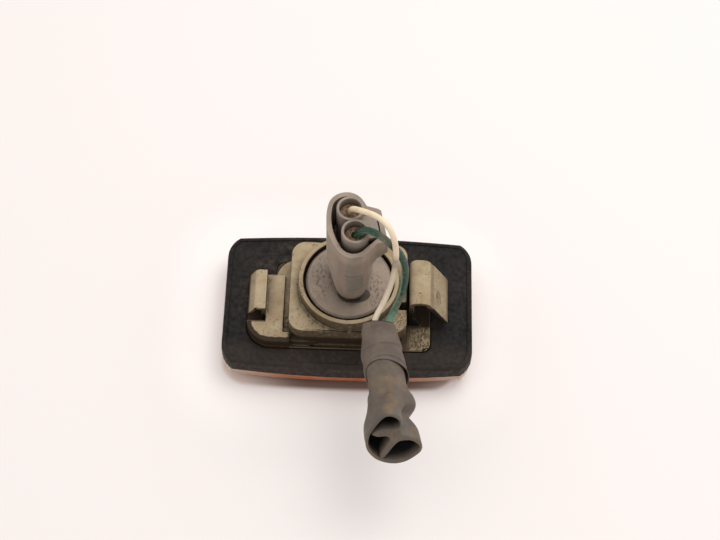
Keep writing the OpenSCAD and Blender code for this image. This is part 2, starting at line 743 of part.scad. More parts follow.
module wire_seal_white() {
    wire_seal(1, white_d);
}

module wire_seal_green() {
    wire_seal(-1, green_d);
}

// A terminal is a folded brass box that takes the blade, and a barrel crimped on its wire
module terminal(side, wire_d) {
    box_t = 0.35;
    color("#b98d46") holder_place() translate(tube_at(side)) {
        difference() {
            translate([-1.2, -1.9, nose_z + 1]) cube([2.4, 3.8, crimp_z - nose_z - 2.2]);
            translate([-1.2 + box_t, -1.9 + box_t, nose_z])
                cube([2.4 - 2 * box_t, 3.8 - 2 * box_t, crimp_z - nose_z - 1.2 - box_t]);
        }
        translate([0, 0, crimp_z - 1.2 - tiny]) difference() {
            cylinder(d = wire_d + 0.9, h = barrel_l);
            translate([0, 0, 0.8]) cylinder(d = wire_d + 0.1, h = barrel_l);
        }
    }
}

module terminal_white() {
    terminal(1, white_d);
}

module terminal_green() {
    terminal(-1, green_d);
}

// Wires: each route is a hand-chosen line, from the terminal's crimp to inside the sleeve
white_route = [[-0.1, 4.2, 48.5], [-0.1, 4.2, 55], [-0.1, 4.2, 60.3], [0.7, 3, 64.9], [4, 0, 68.6],
    [7.2, -2.3, 70.3], [10.1, -4.7, 70.6], [12.1, -7.1, 69.4], [13.3, -9.4, 66.6], [13.8, -10.5, 60.9],
    [13.7, -8.7, 49.2], [12.7, -9.8, 41.1], [10.9, -12.6, 36.1], [9, -15.6, 33.5], [8.2, -18.5, 32.2],
    [8.2, -23, 31.4], [9, -29, 31.2]];
green_route = [[1.6, -3.6, 48.5], [1.6, -3.6, 54], [1.6, -3.6, 59.5], [2, -3.7, 63.3], [4, -4.5, 66.5],
    [6.8, -6.1, 67.6], [10, -7.6, 66.4], [12.5, -8.1, 63.3], [15, -7.8, 58.1], [16.6, -8.4, 52.8],
    [17, -9.4, 47], [16.5, -10.8, 40.4], [15, -12.8, 35.4], [13.4, -15.8, 33.3], [12, -19.2, 32.2],
    [11.8, -23, 31.5], [12.6, -29, 31.2]];

// Catmull-Rom curve through a route: u counts its points
function route_at(p, u) =
    let (i = min(floor(u), len(p) - 2), t = u - i, a = p[max(i - 1, 0)], b = p[i], c = p[i + 1],
        d = p[min(i + 2, len(p) - 1)])
    0.5 * (2 * b + (c - a) * t + (2 * a - 5 * b + 4 * c - d) * t * t + (3 * b - a - 3 * c + d) * t * t * t);
function unit(v) = v / norm(v);

// Faces of a tube whose rings of points follow one another
function tube_faces(rings, sides) = concat(
    [for (i = [0:rings - 1], k = [0:sides - 1], half = [0, 1])
        let (j = (k + 1) % sides, a = i * sides, b = a + sides)
        half == 0 ? [a + k, b + k, b + j] : [a + k, b + j, a + j]],
    [[for (k = [0:sides - 1]) k], [for (k = [sides - 1:-1:0]) rings * sides + k]]);

// Tube of one diameter swept along a route
module wire(p, d, rings) {
    sides = 8;
    across = unit([0.7, 0.7, 0]);
    last = len(p) - 1;
    points = [for (i = [0:rings])
        let (u = last * i / rings, h = 0.02,
            t = unit(route_at(p, min(u + h, last)) - route_at(p, max(u - h, 0))),
            n = unit(cross(t, across)), b = cross(t, n))
        for (k = [0:sides - 1])
            route_at(p, u) + d / 2 * (cos(360 * k / sides) * n + sin(360 * k / sides) * b)];
    polyhedron(points, tube_faces(rings, sides));
}

module white_wire() {
    color("#d8cdb2") wire(white_route, white_d, 40);
}

module green_wire() {
    color("#3f7f66") wire(green_route, green_d, 38);
}

// Sleeve: a length of soft tube, taped where the wires go in and crumpled at its open end.
// Each station gives the place of its middle, its half width, its half height and its fold.
sleeve_line = [[9.8, -18.2, 32.2], [10.2, -22, 31.8], [10.9, -28, 31.4], [11.8, -34, 31.8],
    [12.9, -40, 33], [14.4, -46, 34.4], [14.8, -53, 35.4], [16.1, -62, 36.2]];
sleeve_wide = [4.7, 5.3, 6, 5.9, 5.8, 6.9, 6.9, 8.6];
sleeve_high = [2.9, 3.6, 4.3, 4.5, 4.9, 5.9, 6.8, 7.6];
sleeve_fold = [0, 0, 0, 0, 0.04, 0.18, 0.27, 0.34];
fold_turn = 65;

// Value of a list between its entries
function along(list, u) = let (i = min(floor(u), len(list) - 2)) mix(list[i], list[i + 1], u - i);

// Direction square to the sleeve's middle line, in its upright plane
function sleeve_up(u) =
    let (t = route_at(sleeve_line, min(u + 0.1, 7)) - route_at(sleeve_line, max(u - 0.1, 0)))
    unit([0, t.z, -t.y]);

// A point of the sleeve at station u and angle a, out from the wall's middle by off.
// The fold gives the section three lobes, the deeper the nearer to the open end.
function sleeve_point(u, a, off) =
    let (r = 1 + along(sleeve_fold, u) * cos(3 * (a - fold_turn)) * (0.65 + 0.35 * sin(a)),
        wide = along(sleeve_wide, u) + off, high = along(sleeve_high, u) + off)
    route_at(sleeve_line, u) + [wide * r * cos(a), 0, 0] + high * r * sin(a) * sleeve_up(u);

// A closed shell between two offsets and two ends. The far end is cut on a slant, which is
// shortest at the angle turn, and flares out at its two sides from what is inside it.
module sleeve_shell(u0, u1, rings, sides, inner, outer, slant, turn, flare = 0) {
    count = rings + 1;
    function u_of(i, a) = mix(u0, u1 - slant * cos(a - turn), i / rings);
    function flare_at(i, a) = flare * pow(i / rings, 2) * (0.25 + 0.75 * pow(cos(a), 2));
    points = [for (off = [outer, inner], i = [0:rings], k = [0:sides - 1])
        let (a = 360 * k / sides) sleeve_point(u_of(i, a), a, off + flare_at(i, a))];
    function at(shell, i, k) = (shell * count + i) * sides + k % sides;
    outside = [for (i = [0:rings - 1], k = [0:sides - 1], half = [0, 1]) half == 0
        ? [at(0, i, k), at(0, i + 1, k), at(0, i + 1, k + 1)]
        : [at(0, i, k), at(0, i + 1, k + 1), at(0, i, k + 1)]];
    inside = [for (i = [0:rings - 1], k = [0:sides - 1], half = [0, 1]) half == 0
        ? [at(1, i, k), at(1, i + 1, k + 1), at(1, i + 1, k)]
        : [at(1, i, k), at(1, i, k + 1), at(1, i + 1, k + 1)]];
    ends = [for (k = [0:sides - 1], part = [0:3])
        part == 0 ? [at(0, 0, k), at(0, 0, k + 1), at(1, 0, k + 1)]
        : part == 1 ? [at(0, 0, k), at(1, 0, k + 1), at(1, 0, k)]
        : part == 2 ? [at(0, rings, k), at(1, rings, k + 1), at(0, rings, k + 1)]
        : [at(0, rings, k), at(1, rings, k), at(1, rings, k + 1)]];
    polyhedron(points, concat(outside, inside, ends));
}

module sleeve() {
    color("#5f5a55") sleeve_shell(0, 6.55, 15, 30, -sleeve_t, 0, 0.45, fold_turn);
}

module sleeve_tape() {
    color("#55565a") sleeve_shell(0.1, 3.3, 8, 30, 0.1, 0.1 + tape_t, 0.6, 90, 0.9);
}

lens();
housing();
gasket();
bulb_holder();
holder_seal();
bulb();
bulb_filament();
bulb_lead_left();
bulb_lead_right();
contact_left();
contact_right();
plug_housing();
plug_seal();
wire_seal_white();
wire_seal_green();
terminal_white();
terminal_green();
white_wire();
green_wire();
sleeve();
sleeve_tape();
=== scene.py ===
import math

import bmesh
import bpy
import numpy as np
from mathutils import Matrix, Vector


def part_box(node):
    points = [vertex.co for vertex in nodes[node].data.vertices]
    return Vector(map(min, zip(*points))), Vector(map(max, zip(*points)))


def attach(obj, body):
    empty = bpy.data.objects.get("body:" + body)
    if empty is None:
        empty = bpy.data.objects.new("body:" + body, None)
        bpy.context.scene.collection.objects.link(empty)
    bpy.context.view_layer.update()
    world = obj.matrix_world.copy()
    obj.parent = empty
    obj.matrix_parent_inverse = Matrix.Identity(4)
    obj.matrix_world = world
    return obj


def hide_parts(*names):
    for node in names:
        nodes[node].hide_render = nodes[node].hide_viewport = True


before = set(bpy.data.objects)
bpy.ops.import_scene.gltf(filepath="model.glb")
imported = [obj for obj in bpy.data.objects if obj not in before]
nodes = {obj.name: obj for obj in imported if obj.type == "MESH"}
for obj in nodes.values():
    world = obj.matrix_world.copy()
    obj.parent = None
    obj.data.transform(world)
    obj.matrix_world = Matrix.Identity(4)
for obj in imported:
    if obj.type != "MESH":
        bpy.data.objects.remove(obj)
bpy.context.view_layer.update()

# Camera
# The lamp is seen from above its front long side, through a long lens a good half metre away,
# and the camera is rolled a little to the left.

MM = 0.001
camera_target = Vector((3.42, 12.01, 12.0)) * MM
camera_distance = 522.68 * MM
camera_elevation = math.radians(60.83)
camera_azimuth = math.radians(-0.15)
camera_roll = math.radians(1.99)
camera_lens = 79.9  # focal length in millimetres, for a sensor of this width
camera_sensor = 36
camera_nearest = 50 * MM


def add_camera():
    """Camera at camera_distance from its target. Its axes are those of a level view, turned by the roll:
    across is right * cos(roll) + up * sin(roll), and upward is square to it."""
    flat = math.cos(camera_elevation)
    back = Vector((math.sin(camera_azimuth) * flat, -math.cos(camera_azimuth) * flat,
                   math.sin(camera_elevation)))
    right = Vector((math.cos(camera_azimuth), math.sin(camera_azimuth), 0))
    up = back.cross(right)
    across = math.cos(camera_roll) * right + math.sin(camera_roll) * up
    upward = back.cross(across)
    camera = bpy.data.objects.new("camera", bpy.data.cameras.new("camera"))
    camera.data.lens = camera_lens
    camera.data.sensor_width = camera_sensor
    camera.data.clip_start = camera_nearest
    turn = Matrix((across, upward, back)).transposed()
    camera.matrix_world = Matrix.LocRotScale(camera_target + back * camera_distance, turn, None)
    bpy.context.scene.collection.objects.link(camera)
    bpy.context.scene.camera = camera


add_camera()

# Floor and light
# A plain pale sheet of paper under an evenly lit tent: the light comes mostly from above and a little
# from behind, and one soft lamp at the back right throws a weak shadow to the front left.


def paint(code):
    """Linear colour of a hexadecimal one: each part is raised from the display's curve."""
    parts = [int(code[i:i + 2], 16) / 255 for i in (0, 2, 4)]
    return tuple(c / 12.92 if c <= 0.04045 else ((c + 0.055) / 1.055) ** 2.4 for c in parts) + (1.0,)


class Finish:
    """A material with one Principled shader, and short names for the nodes that feed it.
    Patterns are laid out in millimetres of the piece's own space."""

    def __init__(self, name, **sockets):
        self.material = bpy.data.materials.new(name)
        self.material.use_nodes = True
        self.tree = self.material.node_tree
        self.shader = self.tree.nodes["Principled BSDF"]
        self.space = self.tree.nodes.new("ShaderNodeTexCoord")
        for socket, value in sockets.items():
            self.feed(self.shader.inputs[socket.replace("_", " ")], value)

    def feed(self, socket, value):
        """Links a socket to another node's output, or sets it to a plain value."""
        if isinstance(value, bpy.types.NodeSocket):
            self.tree.links.new(value, socket)
        else:
            socket.default_value = value

    def add(self, kind, inputs=(), **options):
        """New node with its options set and its inputs fed."""
        node = self.tree.nodes.new("ShaderNode" + kind)
        for option, value in options.items():
            setattr(node, option, value)
        for socket, value in dict(inputs).items():
            self.feed(node.inputs[socket], value)
        return node

    def set(self, socket, value):
        """Feeds one input of the shader."""
        self.feed(self.shader.inputs[socket], value)

    def where(self, stretch=(1, 1, 1), shift=(0, 0, 0)):
        """Place on the piece in millimetres, stretched and then moved by shift."""
        inputs = {"Vector": self.space.outputs["Object"], "Location": shift,
                  "Scale": [s / MM for s in stretch]}
        return self.add("Mapping", inputs).outputs[0]

    def noise(self, size, detail=3, rough=0.5, stretch=(1, 1, 1), seed=0):
        """Cloudy value about one half, whose blotches are about size millimetres across. Each seed
        looks at another part of the same endless pattern."""
        place = self.where(stretch, (seed * 7.3, seed * 3.1, seed * 5.7))
        inputs = {"Vector": place, "Scale": 1 / size, "Detail": detail, "Roughness": rough}
        return self.add("TexNoise", inputs).outputs[0]

    def ramp(self, value, start, end, low=0.0, high=1.0):
        """Smooth step from low to high as the value goes from start to end."""
        inputs = {0: value, 1: start, 2: end, 3: low, 4: high}
        return self.add("MapRange", inputs, interpolation_type="SMOOTHSTEP").outputs[0]

    def math(self, operation, first, second=0.0):
        """One sum on one or two values."""
        return self.add("Math", {0: first, 1: second}, operation=operation).outputs[0]

    def chain(self, operation, values):
        """The same sum from the first value through to the last."""
        result = values[0]
        for value in values[1:]:
            result = self.math(operation, result, value)
        return result

    def times(self, *values):
        """Product of all the values."""
        return self.chain("MULTIPLY", values)

    def plus(self, *values):
        """Sum of all the values."""
        return self.chain("ADD", values)

    def most(self, *values):
        """Largest of the values."""
        return self.chain("MAXIMUM", values)

    def without(self, value):
        """What the value leaves of 1."""
        return self.math("SUBTRACT", 1.0, value)

    def mix(self, share, first, second):
        """Colour that goes from the first to the second as share goes from 0 to 1."""
        return self.add("Mix", {0: share, 6: first, 7: second}, data_type="RGBA").outputs[2]

    def coats(self, colour, *layers):
        """Colour under layers of paint. Each layer is a mask, the share that it covers where the mask
        is 1, and its paint."""
        for mask, share, code in layers:
            colour = self.mix(self.times(mask, share), colour, paint(code))
        return colour

    def near(self, point, inner, outer, stretch=(1, 1, 1)):
        """1 within inner millimetres of a point, 0 past outer, on stretched axes."""
        place = self.where(stretch)
        middle = [p * s for p, s in zip(point, stretch)]
        gap = self.add("VectorMath", {0: place, 1: middle}, operation="DISTANCE").outputs["Value"]
        return self.ramp(gap, inner, outer, 1.0, 0.0)

    def axis(self, index):
        """One coordinate of the place, in millimetres."""
        return self.add("SeparateXYZ", {0: self.where()}).outputs[index]

    def unrolled(self, index):
        """Place on a tube's own map: the share of the way round, or the millimetres along it."""
        return self.add("SeparateXYZ", {0: self.space.outputs["UV"]}).outputs[index]

    def facing(self, index):
        """One part of the surface's direction: facing(2) is 1 on a level top and 0 on a wall."""
        turn = self.add("NewGeometry").outputs["Normal"]
        return self.add("SeparateXYZ", {0: turn}).outputs[index]

    def past(self, index, start, end):
        """Soft edge across an axis: 0 on the start's side of it, and 1 past the end."""
        return self.ramp(self.axis(index), start, end)

    def faces(self, index, start, end):
        """Soft edge between directions: 0 where facing is at the start, and 1 past the end."""
        return self.ramp(self.facing(index), start, end)

    def rounded(self, radius):
        """The surface's direction with its edges rounded over by radius millimetres."""
        return self.add("Bevel", {"Radius": radius * MM}, samples=6).outputs[0]

    # mask used to paint pale highlights along edges
    def edge_highlight(self, radius):
        """1 along edges, where the rounded direction leaves the face's own."""
        face = self.add("NewGeometry").outputs["Normal"]
        same = self.add("VectorMath", {0: self.rounded(radius), 1: face}, operation="DOT_PRODUCT")
        return self.ramp(same.outputs["Value"], 0.985, 0.9)

    def groove(self, reach, power=1.0):
        """1 deep in grooves and corners, 0 in the open, from what stands within reach millimetres."""
        open_share = self.add("AmbientOcclusion", {"Distance": reach * MM}, samples=8).outputs["AO"]
        return self.math("POWER", self.without(open_share), power)

    def bump(self, height, distance, under=None):
        """Relief of a height value, distance millimetres for a change of 1, on top of another relief."""
        inputs = {"Height": height, "Distance": distance * MM}
        if under is not None:
            inputs["Normal"] = under
        return self.add("Bump", inputs).outputs[0]


tent_tint = (1.0, 0.972, 0.955, 1)
tent_front = 0.70
tent_back = 0.98
tent_low = 0.45
tent_high = 1.3


def add_tent():
    """World whose strength rises from the camera's side to the far side, and from the horizon up.
    Seen directly, in gloss or through glass it is white."""
    world = bpy.data.worlds.new("tent")
    bpy.context.scene.world = world
    world.use_nodes = True
    tree = world.node_tree
    tree.nodes.clear()

    def rise(value, *limits):
        """Smooth step: the limits are its start and end, and its low and high result."""
        node = tree.nodes.new("ShaderNodeMapRange")
        node.interpolation_type = "SMOOTHSTEP"
        tree.links.new(value, node.inputs[0])
        for index, limit in enumerate(limits, start=1):
            node.inputs[index].default_value = limit
        return node.outputs[0]

    def joined(operation, first, second):
        """One sum on two values."""
        node = tree.nodes.new("ShaderNodeMath")
        node.operation = operation
        tree.links.new(first, node.inputs[0])
        tree.links.new(second, node.inputs[1])
        return node.outputs[0]

    direction = tree.nodes.new("ShaderNodeTexCoord").outputs["Generated"]
    split = tree.nodes.new("ShaderNodeSeparateXYZ")
    tree.links.new(direction, split.inputs[0])
    glow = tree.nodes.new("ShaderNodeBackground")
    glow.inputs[0].default_value = tent_tint
    strength = joined("MULTIPLY", rise(split.outputs[1], -0.9, 0.5, tent_front, tent_back),
                      rise(split.outputs[2], 0.0, 1.0, tent_low, tent_high))
    tree.links.new(strength, glow.inputs[1])
    seen = tree.nodes.new("ShaderNodeBackground")
    seen.inputs[0].default_value = (1, 1, 1, 1)
    path = tree.nodes.new("ShaderNodeLightPath")
    looks = joined("MAXIMUM", path.outputs["Is Camera Ray"], path.outputs["Is Glossy Ray"])
    looks = joined("MAXIMUM", looks, path.outputs["Is Transmission Ray"])
    choice = tree.nodes.new("ShaderNodeMixShader")
    tree.links.new(looks, choice.inputs[0])
    tree.links.new(glow.outputs[0], choice.inputs[1])
    tree.links.new(seen.outputs[0], choice.inputs[2])
    out = tree.nodes.new("ShaderNodeOutputWorld")
    tree.links.new(choice.outputs[0], out.inputs[0])


lamp_place = Vector((0.17, 0.17, 0.55))
lamp_aim = Vector((0, -0.01, 0.02))
lamp_power = 1.0
lamp_size = 0.35


def add_lamp():
    """Square soft lamp that faces the object."""
    lamp = bpy.data.lights.new("soft_lamp", "AREA")
    lamp.size = lamp_size
    lamp.energy = lamp_power
    lamp.color = tent_tint[:3]
    holder = bpy.data.objects.new("soft_lamp", lamp)
    turn = (lamp_aim - lamp_place).to_track_quat("-Z", "Y")
    holder.matrix_world = Matrix.LocRotScale(lamp_place, turn, None)
    bpy.context.scene.collection.objects.link(holder)


paper_white = (0.885, 0.84, 0.825, 1)
# painted light: the paper's colour near the lamp, lighter to soften the shade there
paper_lit_near_lamp = (1.0, 0.955, 0.94, 1)
# colours of the lens's painted shadow, deep in its middle and pale at its ends
shadow_deep = (0.24, 0.165, 0.135, 1)
shadow_pale = (0.78, 0.66, 0.60, 1)
shadow_x = -2.6
shadow_half = (30.0, 17.8)  # half the length and width of the rectangle inside its round corners
shadow_edge = (6.9, 9.0)
bow_x = -3.0
bow = 0.0012  # how far a long side curves in, for each square millimetre from its middle


def paper():
    """Pale paper, painted lighter near the lamp to soften the shade round it. In front lies a painted
    brown shadow of the amber lens. Its edge is where the distance from a rectangle whose long sides
    bow reaches a radius, so its corners are round. It is deep in the middle and pale at its ends."""
    f = Finish("paper", Roughness=0.8, Specular_IOR_Level=0.2)
    x, y = f.axis(0), f.axis(1)
    bowed = f.times(f.math("POWER", f.math("ABSOLUTE", f.math("SUBTRACT", x, bow_x)), 2.0), bow)
    from_x = f.math("ABSOLUTE", f.math("SUBTRACT", x, shadow_x))
    from_y = f.plus(f.math("ABSOLUTE", y), bowed)
    past_x = f.most(f.math("SUBTRACT", from_x, shadow_half[0]), 0.0)
    past_y = f.most(f.math("SUBTRACT", from_y, shadow_half[1]), 0.0)
    away = f.math("SQRT", f.plus(f.times(past_x, past_x), f.times(past_y, past_y)))
    # painted light: the paper is lighter near the lamp
    lighter = f.mix(f.ramp(away, 8, 34, 1.0, 0.0), paper_white, paper_lit_near_lamp)
    # painted shadow of the amber lens in front of the lamp
    ends = f.ramp(f.math("ABSOLUTE", f.math("SUBTRACT", x, 3.0)), 15, 40)
    brown = f.mix(ends, shadow_deep, shadow_pale)
    shade = f.times(f.ramp(away, *shadow_edge, 1.0, 0.0), f.ramp(y, -8, -18))
    f.set("Base Color", f.mix(shade, lighter, brown))
    return f


def add_floor(half_width=3.0):
    """Level sheet under the lamp, at the height of the surface that the lens rests on."""
    mesh = bpy.data.meshes.new("floor")
    corners = [(-1, -1), (1, -1), (1, 1), (-1, 1)]
    mesh.from_pydata([(x * half_width, y * half_width, 0) for x, y in corners], [], [(0, 1, 2, 3)])
    floor = bpy.data.objects.new("floor", mesh)
    bpy.context.scene.collection.objects.link(floor)
    floor.data.materials.append(paper().material)


bpy.context.scene.view_settings.view_transform = "Standard"
add_tent()
add_lamp()
add_floor()

# Wires
# Two soft plastic-covered wires, one cream and one green with a paler stripe. They rise out of
# the plug's tubes, bend over its rim and hang down beside the socket into the taped sleeve.

white_d = 1.8
green_d = 2.2
wire_sides = 24
wire_step = 0.5
cap_shares = (0.0, 0.5, 0.85)
white_route = [[-0.1, 4.2, 48.5], [-0.1, 4.2, 55], [-0.1, 4.2, 60.3], [0.7, 3, 64.9], [4, 0, 68.6],
    [7.2, -2.3, 70.3], [10.1, -4.7, 70.55], [12.1, -7.1, 69.4], [13.3, -9.4, 66.6], [13.8, -10.5, 60.9],
    [13.7, -8.7, 49.2], [12.7, -9.8, 41.1], [10.9, -12.6, 36.1], [9, -15.6, 33.5], [8.2, -18.5, 32.2],
    [8.2, -23, 31.4], [9, -29, 31.2]]
green_route = [[1.6, -3.6, 48.5], [1.6, -3.6, 54], [1.65, -3.6, 58.6], [2.7, -3.8, 62.7],
    [4.7, -4.7, 65.9], [7.1, -6.2, 67.3], [10, -7.6, 66.4], [12.5, -8.1, 63.3], [15, -7.8, 58.1],
    [16.6, -8.4, 52.8], [17, -9.4, 47], [16.5, -10.8, 40.4], [15, -12.8, 35.4], [13.4, -15.8, 33.3],
    [12, -19.2, 32.2], [11.8, -23, 31.5], [12.6, -29, 31.2]]


def smooth_line(points, u):
    """Catmull-Rom curve through the points: between two of them it is a cubic whose direction at each
    is half the step from the point before to the point after. u counts the points."""
    p = np.asarray(points, float)
    last = len(p) - 1
    u = np.clip(np.asarray(u, float), 0, last)
    i = np.minimum(np.floor(u).astype(int), last - 1)
    t = (u - i).reshape(u.shape + (1,) * (p.ndim - 1))
    a, b, c, d = p[np.maximum(i - 1, 0)], p[i], p[i + 1], p[np.minimum(i + 2, last)]
    square = (2 * a - 5 * b + 4 * c - d) * t ** 2
    cube = (3 * b - a - 3 * c + d) * t ** 3
    return 0.5 * (2 * b + (c - a) * t + square + cube)


def even_line(points, step):
    """Points a step apart along the smooth curve, and its whole length."""
    fine = smooth_line(points, np.linspace(0, len(points) - 1, 60 * len(points)))
    run = np.r_[0, np.cumsum(np.linalg.norm(np.diff(fine, axis=0), axis=1))]
    at = np.linspace(0, run[-1], int(run[-1] / step) + 1)
    return np.stack([np.interp(at, run, fine[:, k]) for k in range(3)], axis=1), run[-1]


def unit(vectors):
    """Vectors of length 1 in the same directions."""
    return vectors / np.linalg.norm(vectors, axis=-1, keepdims=True)


def tube_map(columns, run):
    """Map of a tube's grid: the share of the way round, with one more column for the seam, and the
    millimetres along the tube, which are given for each row."""
    return np.stack(np.meshgrid(np.linspace(0, 1, columns + 1), run), axis=-1)


def shell(name, points, uv, finish, closed=False):
    """Object of a grid of points (rows, columns, 3) in millimetres, with a tube's map. The columns run
    round and meet, and the rows meet too if closed. Doubled points, as at a pole, become one, and
    faces are turned outwards."""
    rows, columns = points.shape[:2]
    i, k = np.meshgrid(np.arange(rows if closed else rows - 1), np.arange(columns), indexing="ij")
    i_next, k_next = (i + 1) % rows, (k + 1) % columns
    corners = [(i, k, k), (i, k_next, k + 1), (i_next, k_next, k + 1), (i_next, k, k)]
    faces = np.stack([a * columns + b for a, b, c in corners], axis=-1).reshape(-1, 4)
    mesh = bpy.data.meshes.new(name)
    mesh.from_pydata((points.reshape(-1, 3) * MM).tolist(), [], faces.tolist())
    layer = mesh.uv_layers.new(name="UVMap")
    ends = np.stack([uv[a, c] for a, b, c in corners], axis=-2).reshape(-1)
    layer.data.foreach_set("uv", ends.astype(np.float32))
    body = bmesh.new()
    body.from_mesh(mesh)
    bmesh.ops.remove_doubles(body, verts=body.verts, dist=1e-6)
    bmesh.ops.recalc_face_normals(body, faces=body.faces)
    body.to_mesh(mesh)
    body.free()
    mesh.shade_smooth()
    piece = bpy.data.objects.new(name, mesh)
    bpy.context.scene.collection.objects.link(piece)
    mesh.materials.append(finish.material)
    return piece


def ring_grid(line, radius, sides):
    """Circles of the radius, one for each point of a line: the point, plus the radius times cos of the
    turn to one side and sin of the turn to the other, both square to the line."""
    along = unit(np.gradient(line, axis=0))
    side = unit(np.cross(along, [0.7, 0.7, 0]))
    other = np.cross(along, side)
    turn = np.linspace(0, 2 * np.pi, sides, endpoint=False)[None, :, None]
    spread = np.cos(turn) * side[:, None] + np.sin(turn) * other[:, None]
    return line[:, None] + radius * spread


def wire(name, route, diameter, finish):
    """Round wire along a route. At each end the circle shrinks to a point in a few rings, as a cap.
    Returns the piece, its middle line and its length, both in metres."""
    line, length = even_line(route, wire_step)
    points = ring_grid(line, diameter / 2, wire_sides)
    start, end = points[0], points[-1]
    caps_in = [line[0] + (start - line[0]) * s for s in cap_shares]
    caps_out = [line[-1] + (end - line[-1]) * s for s in reversed(cap_shares)]
    points = np.concatenate([np.stack(caps_in), points, np.stack(caps_out)])
    caps = len(cap_shares)
    run = np.r_[[0] * caps, np.linspace(0, length, len(line)), [length] * caps]
    piece = shell(name, points, tube_map(wire_sides, run), finish)
    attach(piece, "root")
    return piece, line * MM, length * MM


def cream_plastic():
    """Warm cream insulation with a little grime, browner where it comes out of the tube. It has one
    grey stained band halfway. Painted light makes it paler before the band, on its bend, and in its
    last part."""
    f = Finish("cream_insulation", Roughness=0.42, Specular_IOR_Level=0.4)
    along = f.unrolled(1)
    colour = f.mix(f.ramp(f.noise(5, detail=4, rough=0.6), 0.35, 0.7), paint("efdcbd"), paint("dcc4a0"))
    painted_light_bend = f.times(f.ramp(along, 24, 28), f.ramp(along, 43, 41), 0.5)
    f.set("Base Color", f.coats(
        colour,
        (f.times(f.ramp(along, 43, 45), f.ramp(along, 53, 50)), 0.6, "86817c"),
        (f.ramp(along, 24, 14), 0.4, "c2a581"),
        (f.ramp(f.noise(1.1, detail=5, rough=0.7, seed=2), 0.58, 0.74), 0.5, "9a8263"),
        # painted light: paler on the bend before the band and in the last part
        (f.most(painted_light_bend, f.ramp(along, 53, 57)), 1.0, "efdfc6")))
    f.set("Normal", f.bump(f.noise(1.5, detail=3), 0.03))
    return f


def green_plastic():
    """Dark green insulation with a paler stripe along one side. Fine dark lines show on its first
    bend, beige dust dulls it in two bands, and its last part is paler."""
    f = Finish("green_insulation", Roughness=0.45, Specular_IOR_Level=0.4)
    round_way, along = f.unrolled(0), f.unrolled(1)
    stripe = f.ramp(f.math("ABSOLUTE", f.math("SUBTRACT", round_way, 0.36)), 0.10, 0.14, 1.0, 0.0)
    dust = f.ramp(f.noise(0.9, detail=5, rough=0.7, seed=3), 0.50, 0.68)
    band_high = f.times(f.ramp(along, 22.5, 24.0), f.ramp(along, 28.5, 26.5))
    band_low = f.times(f.ramp(along, 53, 55), f.ramp(along, 61, 58))
    bands = f.plus(band_high, f.times(band_low, 0.8))
    lines = f.times(f.ramp(f.math("SINE", f.times(round_way, 26.0)), 0.1, 0.5), f.ramp(along, 28, 20))
    f.set("Base Color", f.coats(
        f.mix(stripe, paint("1d4334"), paint("6f9c85")),
        (f.ramp(f.noise(4, detail=4), 0.35, 0.75), 0.5, "2c4639"),
        (f.plus(f.times(dust, 0.45), f.times(bands, 0.4)), 1.0, "8d8470"),
        (f.ramp(along, 58, 66), 0.6, "7fae92"),
        (lines, 0.75, "14301f")))
    f.set("Normal", f.bump(f.noise(1.5, detail=3), 0.03))
    return f


white_wire, white_path, white_length = wire("white_wire_insulated", white_route, white_d, cream_plastic())
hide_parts("white_wire")
green_wire, green_path, green_length = wire("green_wire_insulated", green_route, green_d, green_plastic())
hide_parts("green_wire")

# Sleeve
# A length of soft plastic tube round the two wires. It is taped where they go in. Its open end is cut
# slantwise, longest below, and has crumpled so that two folds part it into three hollows.

sleeve_t = 0.8
sleeve_line = [[9.8, -18.2, 32.2], [10.2, -22, 31.8], [10.9, -28, 31.4], [11.8, -34, 31.8],
    [12.9, -40, 33], [14.1, -46, 34.4], [14.3, -53, 35.4], [16.1, -62, 36.2]]
sleeve_wide = [4.7, 5.3, 6, 5.9, 5.8, 7.1, 7.2, 8.6]
sleeve_high = [2.9, 3.6, 4.3, 4.5, 4.9, 5.9, 6.8, 7.6]
mouth_middle = (15.5, -58.0, 35.85)
mouth_lean = 0.5  # how much nearer to the lamp the cut lies, for each millimetre up
mouth_from = 1.3  # stations before the cut at which the oval starts to give way to the mouth
waist = 2.3
waist_at = 5.62
waist_angle = math.radians(-5)
# middle of a painted bluish highlight on a fold near the sleeve's mouth
painted_sheen_place = (19.0, -53.5, 41.5)
sleeve_columns = 264
outer_rows = 150
lip_rows = 7
inner_rows = 90
